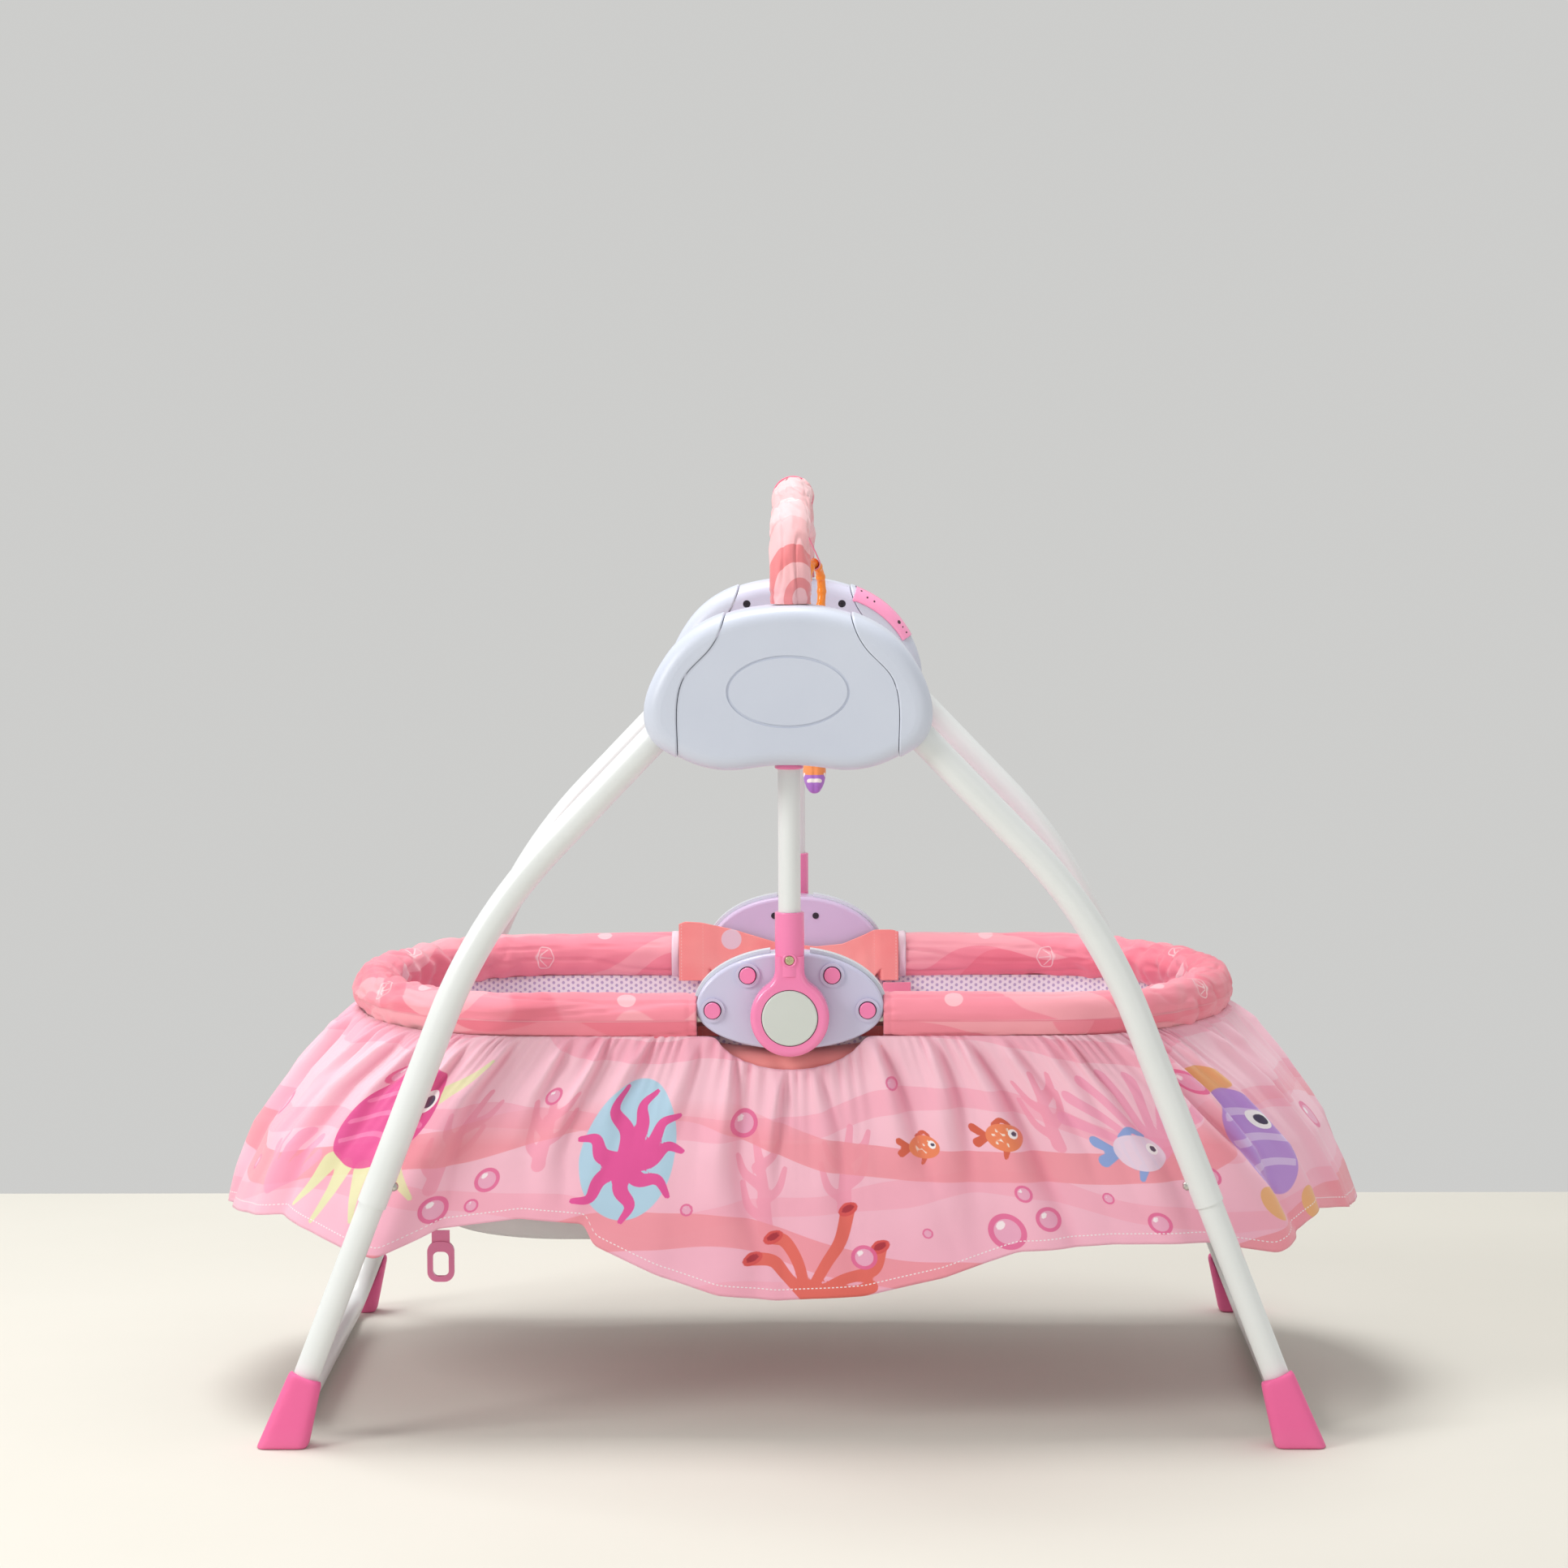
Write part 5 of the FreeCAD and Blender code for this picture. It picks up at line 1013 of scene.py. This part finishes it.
flap_cols, flap_rows = 190, 64
for row_name, toward, x0, x1, edge_x, edge_z in (
        ("rear", 1, -0.1095, 0.0975,
         (-0.1095, -0.104, -0.088, -0.057, -0.016, 0.020, 0.045, 0.066, 0.075, 0.092, 0.0975),
         (0.389, 0.3915, 0.3905, 0.3835, 0.371, 0.3675, 0.370, 0.379, 0.3835, 0.3835, 0.3815)),
        ("front", -1, -0.0985, 0.0985,
         (-0.0985, -0.094, -0.075, -0.040, 0.0, 0.040, 0.075, 0.094, 0.0985),
         (0.366, 0.368, 0.368, 0.364, 0.361, 0.364, 0.368, 0.368, 0.366))):
    x = np.linspace(x0, x1, flap_cols)
    top_z = np.interp(x, edge_x, edge_z)
    for _ in range(4):
        top_z[1:-1] = (top_z[:-2] + 2 * top_z[1:-1] + top_z[2:]) / 4
    x = x[:, None]
    share = np.linspace(0, 1, flap_rows)[None, :]
    tab = np.clip((np.abs(x) - (0.070 if toward > 0 else 0.083)) / 0.012, 0, 1)
    tab = tab * tab * (3 - 2 * tab)
    straight_z = 0.3282 + 0.009 * np.clip(np.abs(x) / 0.085, 0, 1) ** 2
    under = np.clip((share - 0.76) / 0.24, 0, 1) * (1 - tab)
    z = top_z[:, None] + (straight_z - top_z[:, None]) * np.clip(share / 0.76, 0, 1) * (1 - tab) + \
        (0.3355 - top_z[:, None]) * share * tab
    turn = under * math.pi / 2
    seam_low = plate_z - bay_depth * np.sqrt(np.clip(1 - (x / bay_half) ** 2, 0, 1))
    seam_low = np.minimum(seam_low, straight_z) - 0.0025
    z = z - (straight_z - seam_low) * (1 - np.cos(turn))
    y = inner_y - 0.0010 * tab + (0.2262 - inner_y) * np.sin(turn) ** 0.6
    sag = np.clip(share / 0.4, 0, 1) * (1 - under)
    y = y - np.abs(0.0020 * crumple(x * 26, z * 18, 0, 41 + toward)) * sag - \
        0.0016 * np.exp(-((x - 0.062 + 0.25 * (z - 0.37)) / 0.006) ** 2) * sag * (toward > 0) - \
        0.0012 * np.exp(-((x + 0.040 - 0.3 * (z - 0.36)) / 0.007) ** 2) * sag
    y = y + 0.0012 * np.sin(x * 190 + 3 * crumple(x * 20, 0 * z, 0, 44)) * under
    points = np.stack([x + 0 * z, toward * y, z], -1)
    faces = grid_faces(flap_cols, flap_rows)
    if toward > 0:
        faces = [f[::-1] for f in faces]
    mesh = mesh_of(f"{row_name}_side_flap", points.reshape(-1, 3), faces)
    flat_x, flat_z = (x + 0 * z).ravel(), (z + 0 * x).ravel()
    store(mesh, "cloth", np.stack([flat_x, flat_z - (under * 0.03).ravel(), 0 * flat_x], -1))
    seams = np.minimum(np.minimum(np.abs(flat_x - x0 - 0.0225), np.abs(flat_x - x1 + 0.0225)),
                       np.minimum(np.abs(flat_x - x0 - 0.0025), np.abs(flat_x - x1 + 0.0025)))
    store(mesh, "seam", seams)
    store(mesh, "ink_pale", ball((flat_x, flat_z), -0.060, 0.3745, 0.0095 if toward > 0 else 0.0))
    mesh.materials.append(flap_cloth.material)
    flap = new_object(f"{row_name}_side_flap", mesh)
    modify(flap, "SOLIDIFY", thickness=0.0012, offset=0.0)
    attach(flap, "cradle")


band_turn = np.linspace(0, 2 * math.pi, 72, endpoint=False)
for band_name, band_x in (("left", -0.1130), ("right", 0.1010)):
    x, t = np.meshgrid(np.linspace(-0.0036, 0.0036, 5), band_turn, indexing="ij")
    reach = pad_r + 0.0006 - 0.0003 * (x / 0.0036) ** 2
    points = np.stack([band_x + x, rim_wide + reach * np.cos(t), rim_z + 1.03 * reach * np.sin(t)], -1)
    mesh = mesh_of(f"{band_name}_fastening_band", points.reshape(-1, 3), grid_faces(5, 72, wrap_cols=True))
    store(mesh, "cloth", np.stack([x.ravel(), t.ravel() * pad_r, 0 * x.ravel()], -1))
    band_cloth = fabric(f"{band_name}_band_white", weave=0.0008, gloss=0.5, depth=0.0002)
    band_cloth.wear(Base_Color=band_cloth.mix(band_cloth.crease, rgb(240, 212, 226), rgb(248, 226, 236)))
    mesh.materials.append(band_cloth.material)
    band_piece = new_object(f"{band_name}_fastening_band", mesh)
    modify(band_piece, "SOLIDIFY", thickness=0.0008, offset=0.0)
    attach(band_piece, "cradle")


# ---- Toy bar sleeve and its loop -----------------------------------------------------------------
# A pale coral sleeve, gathered loosely on the toy bar, with a loop of pink webbing at its middle for the toy.

bar_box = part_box("toy_bar_sleeve")
bar_top, bar_y = bar_box[1][2] - 0.016, bar_box[1][1] - 0.016
bend_z, bend_r = 0.716, 0.060
rise, in_y = bar_top - bend_z, bar_y - bend_r
top_r = (rise ** 2 + in_y ** 2 - bend_r ** 2) / (2 * (rise - bend_r))
lean = math.atan2(bend_z - (bar_top - top_r), in_y)
arch = [(bar_y, bend_z - 0.0034), (bar_y, bend_z - 0.0015)]
arch += [(bend_r * math.cos(t) + in_y, bend_z + bend_r * math.sin(t)) for t in np.linspace(0.0, lean, 60)]
arch += [(top_r * math.cos(t), bar_top - top_r + top_r * math.sin(t)) for t in np.linspace(lean, math.pi / 2,
                                                                                           90)[1:]]
arch = np.array(arch)
arch = np.vstack([arch, arch[::-1][1:] * (-1, 1)]) * (-1, 1)
length = np.concatenate([[0], np.cumsum(np.hypot(*np.diff(arch, axis=0).T))])
sleeve_run = np.linspace(0, length[-1], 330)
ay, az = np.interp(sleeve_run, length, arch[:, 0]), np.interp(sleeve_run, length, arch[:, 1])
ty, tz = np.gradient(ay), np.gradient(az)
size = np.hypot(ty, tz)
out_y, out_z = -tz / size, ty / size
bar_turn = np.linspace(0, 2 * math.pi, 96, endpoint=False)
s, t = np.meshgrid(sleeve_run, bar_turn, indexing="ij")
c, sn = np.cos(t), np.sin(t)
lump = crumple(s * 16, c * 0.8, sn * 0.8, 51)
twist = 1 - 2 * np.abs(crumple(s * 30 + 0.5 * np.sin(t), c * 1.2, sn * 1.2, 52))
ring_fold = np.exp(-((s - 0.072 - 0.006 * sn) / 0.0035) ** 2) * np.clip(-sn + 0.2, 0, 1) + \
    0.8 * np.exp(-((s - 0.130 + 0.012 * sn) / 0.004) ** 2) * np.clip(-sn + 0.3, 0, 1) + \
    0.8 * np.exp(-((length[-1] - s - 0.09 - 0.008 * sn) / 0.004) ** 2) * np.clip(sn + 0.4, 0, 1)
valley = np.exp(-(crumple(s * 14 + 0.8 * sn, c * 1.0, sn * 1.0, 54) / 0.07) ** 2)
r = 0.0160 + 0.0026 * lump + 0.0016 * twist - 0.0034 * ring_fold - 0.0016 * valley + \
    0.0004 * crumple(s * 90, c * 3, sn * 3, 53)
mouth = np.minimum(s, length[-1] - s)
r = r - 0.0010 * np.exp(-((mouth - 0.008) / 0.0016) ** 2)
points = np.stack([0.0015 + sn * r, ay[:, None] + out_y[:, None] * c * r,
                   az[:, None] + out_z[:, None] * c * r], -1)
points = points.reshape(-1, 3)
faces = [f[::-1] for f in grid_faces(len(sleeve_run), 96, wrap_cols=True)]
for end, flip in ((0, True), (len(sleeve_run) - 1, False)):
    base = len(points)
    ring = np.stack([0.0015 + np.sin(bar_turn) * 0.0098, ay[end] + out_y[end] * np.cos(bar_turn) * 0.0098,
                     az[end] + out_z[end] * np.cos(bar_turn) * 0.0098 + 0.002], -1)
    points = np.vstack([points, ring])
    for i in range(96):
        j = (i + 1) % 96
        quad = [end * 96 + i, end * 96 + j, base + j, base + i]
        faces.append(quad if flip else quad[::-1])
mesh = mesh_of("toy_bar_cover", points, faces)
flat_u = np.concatenate([s.ravel(), np.zeros(192)])
flat_v = np.concatenate([(np.mod(t + math.pi, 2 * math.pi) - math.pi).ravel() * 0.016, np.zeros(192)])
store(mesh, "cloth", np.stack([flat_u, flat_v, 0 * flat_u], -1))
arc_front = np.hypot(flat_u - 0.004, flat_v - 0.010)
arc_rear = np.hypot(flat_u - length[-1] + 0.004, flat_v + 0.010)
store(mesh, "ink_arc", np.minimum(arc_front, arc_rear))
shell_edge, shell_rib = scallops((flat_u, flat_v), (0.116, -0.002, 0.0075, 1.9), (0.46, 0.004, 0.0075, -1.2),
                                 (0.24, 0.030, 0.0075, 0.4), (0.34, -0.030, 0.0075, 2.6))
store(mesh, "ink_shell", shell_edge)
store(mesh, "ink_rib", shell_rib)
bar_cloth = fabric("toy_bar_print", gloss=0.55)
swirl = (bar_cloth.u * 42.0 + bar_cloth.v * 30.0 + bar_cloth.cloud(9.0, 1.0, bar_cloth.cloth) * 8.0).sine()
tone = bar_cloth.mix(swirl.spread(0.45, 0.50), rgb(250, 186, 190), rgb(253, 204, 208))
arc = bar_cloth.measure("ink_arc")
for reach, colour in ((0.040, rgb(232, 128, 132)), (0.026, rgb(252, 190, 194)), (0.015, rgb(238, 142, 146)),
                      (0.008, rgb(252, 196, 200))):
    tone = bar_cloth.mix(arc.inside(reach, 0.0003), tone, colour)
bar_cloth.wear(Base_Color=drawn_shells(bar_cloth, tone, rgb(255, 236, 236), 0.9))
mesh.materials.append(bar_cloth.material)
bar_cover = new_object("toy_bar_cover", mesh)
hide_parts("toy_bar_sleeve")
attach(bar_cover, "toy_bar")

toy_at = Vector((0.020, 0.0, 0.710))
ring_r, wire_r = 0.026, 0.0042
webbing = fabric("pink_webbing", weave=0.0016, gloss=0.6, depth=0.0002)
webbing.wear(Base_Color=webbing.mix(webbing.crease, rgb(240, 130, 160), rgb(246, 148, 174)))


def belt(name, circles, width, thick, body, node=None):
    """A loop of webbing pulled round two round bars; circles are (x, z, r)."""
    a = np.linspace(0, 2 * math.pi, 90, endpoint=False)
    around_pts = np.concatenate([np.stack([x + r * np.cos(a), z + r * np.sin(a)], -1) for x, z, r in circles])
    hull, start = [], int(np.argmin(around_pts[:, 0]))
    at = start
    while True:
        hull.append(at)
        best = (at + 1) % len(around_pts)
        for k in range(len(around_pts)):
            d, e = around_pts[best] - around_pts[at], around_pts[k] - around_pts[at]
            if d[0] * e[1] - d[1] * e[0] < -1e-12:
                best = k
        at = best
        if at == start or len(hull) > 400:
            break
    line = around_pts[hull]
    closed = np.vstack([line, line[:1]])
    run_at = np.concatenate([[0], np.cumsum(np.hypot(*np.diff(closed, axis=0).T))])
    even = np.linspace(0, run_at[-1], 140, endpoint=False)
    line = np.stack([np.interp(even, run_at, closed[:, i]) for i in (0, 1)], -1)
    rows_y = np.linspace(-width / 2, width / 2, 9)
    pts = np.stack([np.repeat(line[:, 0], 9), np.tile(rows_y, len(line)), np.repeat(line[:, 1], 9)], -1)
    made = mesh_of(name, pts, grid_faces(len(line), 9, wrap_rows=True))
    store(made, "cloth", np.stack([np.repeat(even, 9), np.tile(rows_y, len(line)), np.zeros(len(pts))], -1))
    made.materials.append(webbing.material)
    strap = new_object(name, made)
    modify(strap, "SOLIDIFY", thickness=thick, offset=0.0)
    if node:
        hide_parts(node)
    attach(strap, body)
    return strap


belt("toy_webbing_band", ((0.0015, bar_top, 0.0178),), 0.010, 0.0012, "toy_bar", "toy_loop")
belt("toy_webbing_loop", ((0.0060, bar_top - 0.0185, 0.0012), (toy_at.x, toy_at.z + ring_r, wire_r + 0.0012)),
     0.009, 0.0011, "toy_bar")


# A short tab of the same webbing hangs from the rear flap, against the mesh.
x, z = np.meshgrid(np.linspace(0.083, 0.109, 30), np.linspace(0.3205, 0.3335, 14), indexing="ij")
points = np.stack([x, inner_y - 0.0018 - 0.0008 * np.sin((x - 0.083) * 180), z], -1)
mesh = mesh_of("webbing_tab", points.reshape(-1, 3), grid_faces(30, 14))
store(mesh, "cloth", np.stack([x.ravel(), z.ravel(), 0 * x.ravel()], -1))
mesh.materials.append(webbing.material)
webbing_tab = new_object("webbing_tab", mesh)
modify(webbing_tab, "SOLIDIFY", thickness=0.0014, offset=0.0)
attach(webbing_tab, "cradle")


# ---- Toy ring and plush fish ---------------------------------------------------------------------
# A hard orange teething ring with moulded nubs hangs turned in the loop, and a stuffed patchwork fish on a cord
# hangs from the ring.

ring_steps, wire_steps = 240, 28
a, b = np.meshgrid(np.linspace(0, 2 * math.pi, ring_steps, endpoint=False),
                   np.linspace(0, 2 * math.pi, wire_steps, endpoint=False), indexing="ij")
from_nub = np.abs(np.mod(a + math.pi / 12, math.pi / 6) - math.pi / 12)
wire = 0.0038 + 0.0011 * np.exp(-(from_nub / 0.085) ** 2) * (0.55 + 0.45 * np.cos(b) ** 2)
ring_y, ring_z = (ring_r + wire * np.cos(b)) * np.cos(a), (ring_r + wire * np.cos(b)) * np.sin(a)
ring_x = wire * np.sin(b)
tw = math.radians(15)
points = np.stack([toy_at.x + ring_x * math.cos(tw) + ring_y * math.sin(tw),
                   toy_at.y + ring_y * math.cos(tw) - ring_x * math.sin(tw), toy_at.z + ring_z],
                  -1).reshape(-1, 3)
orange = moulded("orange_plastic", rgb(252, 142, 30), rgb(255, 156, 44), 0.22, Coat_Weight=0.4,
                 Coat_Roughness=0.08)
mesh = mesh_of("teething_ring", points, grid_faces(ring_steps, wire_steps, True, True))
mesh.materials.append(orange.material)
ring = new_object("teething_ring", mesh)
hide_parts("toy_ring")
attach(ring, "toy_ring")

body_at = Vector((toy_at.x, 0, 0.598))


def lobe(centre, sizes, tilt=0.0, rings=24, spans=32):
    """Stuffed oval lobe, tilted in the YZ plane."""
    th, ph = np.meshgrid(np.linspace(0.001, math.pi - 0.001, rings),
                         np.linspace(0, 2 * math.pi, spans, endpoint=False),
                         indexing="ij")
    x, y, z = sizes[0] * np.sin(th) * np.cos(ph), sizes[1] * np.sin(th) * np.sin(ph), sizes[2] * np.cos(th)
    c, s = math.cos(tilt), math.sin(tilt)
    pts = np.stack([centre[0] + x, centre[1] + y * c + z * s, centre[2] + z * c - y * s], -1).reshape(-1, 3)
    caps = [list(range(spans)), list(range((rings - 1) * spans, rings * spans))[::-1]]
    return pts, [f[::-1] for f in grid_faces(rings, spans, wrap_cols=True)] + caps


pieces_of_fish = [lobe(body_at, (0.0155, 0.0255, 0.0345)),
                  lobe(body_at + Vector((0, -0.0110, -0.047)), (0.0105, 0.0100, 0.0225), 0.45),
                  lobe(body_at + Vector((0, 0.0110, -0.047)), (0.0105, 0.0100, 0.0225), -0.45),
                  lobe(body_at + Vector((0, 0, -0.034)), (0.0065, 0.0085, 0.0120)),
                  lobe(body_at + Vector((0, -0.0260, 0.004)), (0.0040, 0.0075, 0.0130), 0.9),
                  lobe(body_at + Vector((0, 0.0260, 0.004)), (0.0040, 0.0075, 0.0130), -0.9)]
points, faces = np.zeros((0, 3)), []
for pts, fcs in pieces_of_fish:
    faces += [[i + len(points) for i in f] for f in fcs]
    points = np.vstack([points, pts])
plush = new_object("plush_fish_toy", mesh_of("plush_fish_toy", points, faces))
swell(plush, 0.0015, pressure=2.0, voxel=0.0022)
modify(plush, "SMOOTH", factor=0.5, iterations=3)
at = np.empty(len(plush.data.vertices) * 3)
plush.data.vertices.foreach_get("co", at)
at = at.reshape(-1, 3)
seam_gap = np.abs(at[:, 0] - body_at.x)
at[:, 1] -= np.sign(at[:, 1]) * 0.0012 * np.exp(-(seam_gap / 0.0016) ** 2) * np.clip(np.abs(at[:, 1]) / 0.02,
                                                                                     0, 1)
plush.data.vertices.foreach_set("co", at.ravel())
store(plush.data, "cloth", np.stack([at[:, 1], at[:, 2], at[:, 0]], -1))
felt = fabric("patchwork_plush", weave=0.0009, gloss=0.7)
height = felt.v
lattice = (felt.u * (2 * math.pi / 0.013)).sine() * ((felt.v + felt.u * 0.3) * (2 * math.pi / 0.013)).sine()
tone = felt.mix(height.inside(0.604, 0.0003), rgb(168, 108, 196), rgb(244, 142, 66))
tone = felt.mix(height.inside(0.580, 0.0003), tone, rgb(222, 62, 84))
tone = felt.mix(height.inside(0.566, 0.0003), tone, rgb(244, 150, 88))
tone = felt.mix(height.inside(0.548, 0.0003), tone, rgb(176, 118, 206))
tone = felt.mix(lattice.spread(0.60, 0.66), tone, rgb(250, 244, 240))
felt.wear(Base_Color=tone)
plush.data.materials.clear()
plush.data.materials.append(felt.material)
plush.data.shade_smooth()
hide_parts("plush_fish")
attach(plush, "plush_fish")

belt("plush_ribbon", ((toy_at.x, toy_at.z - ring_r, wire_r + 0.0008), (body_at.x, body_at.z + 0.033, 0.0022)),
     0.007, 0.0010, "plush_fish")
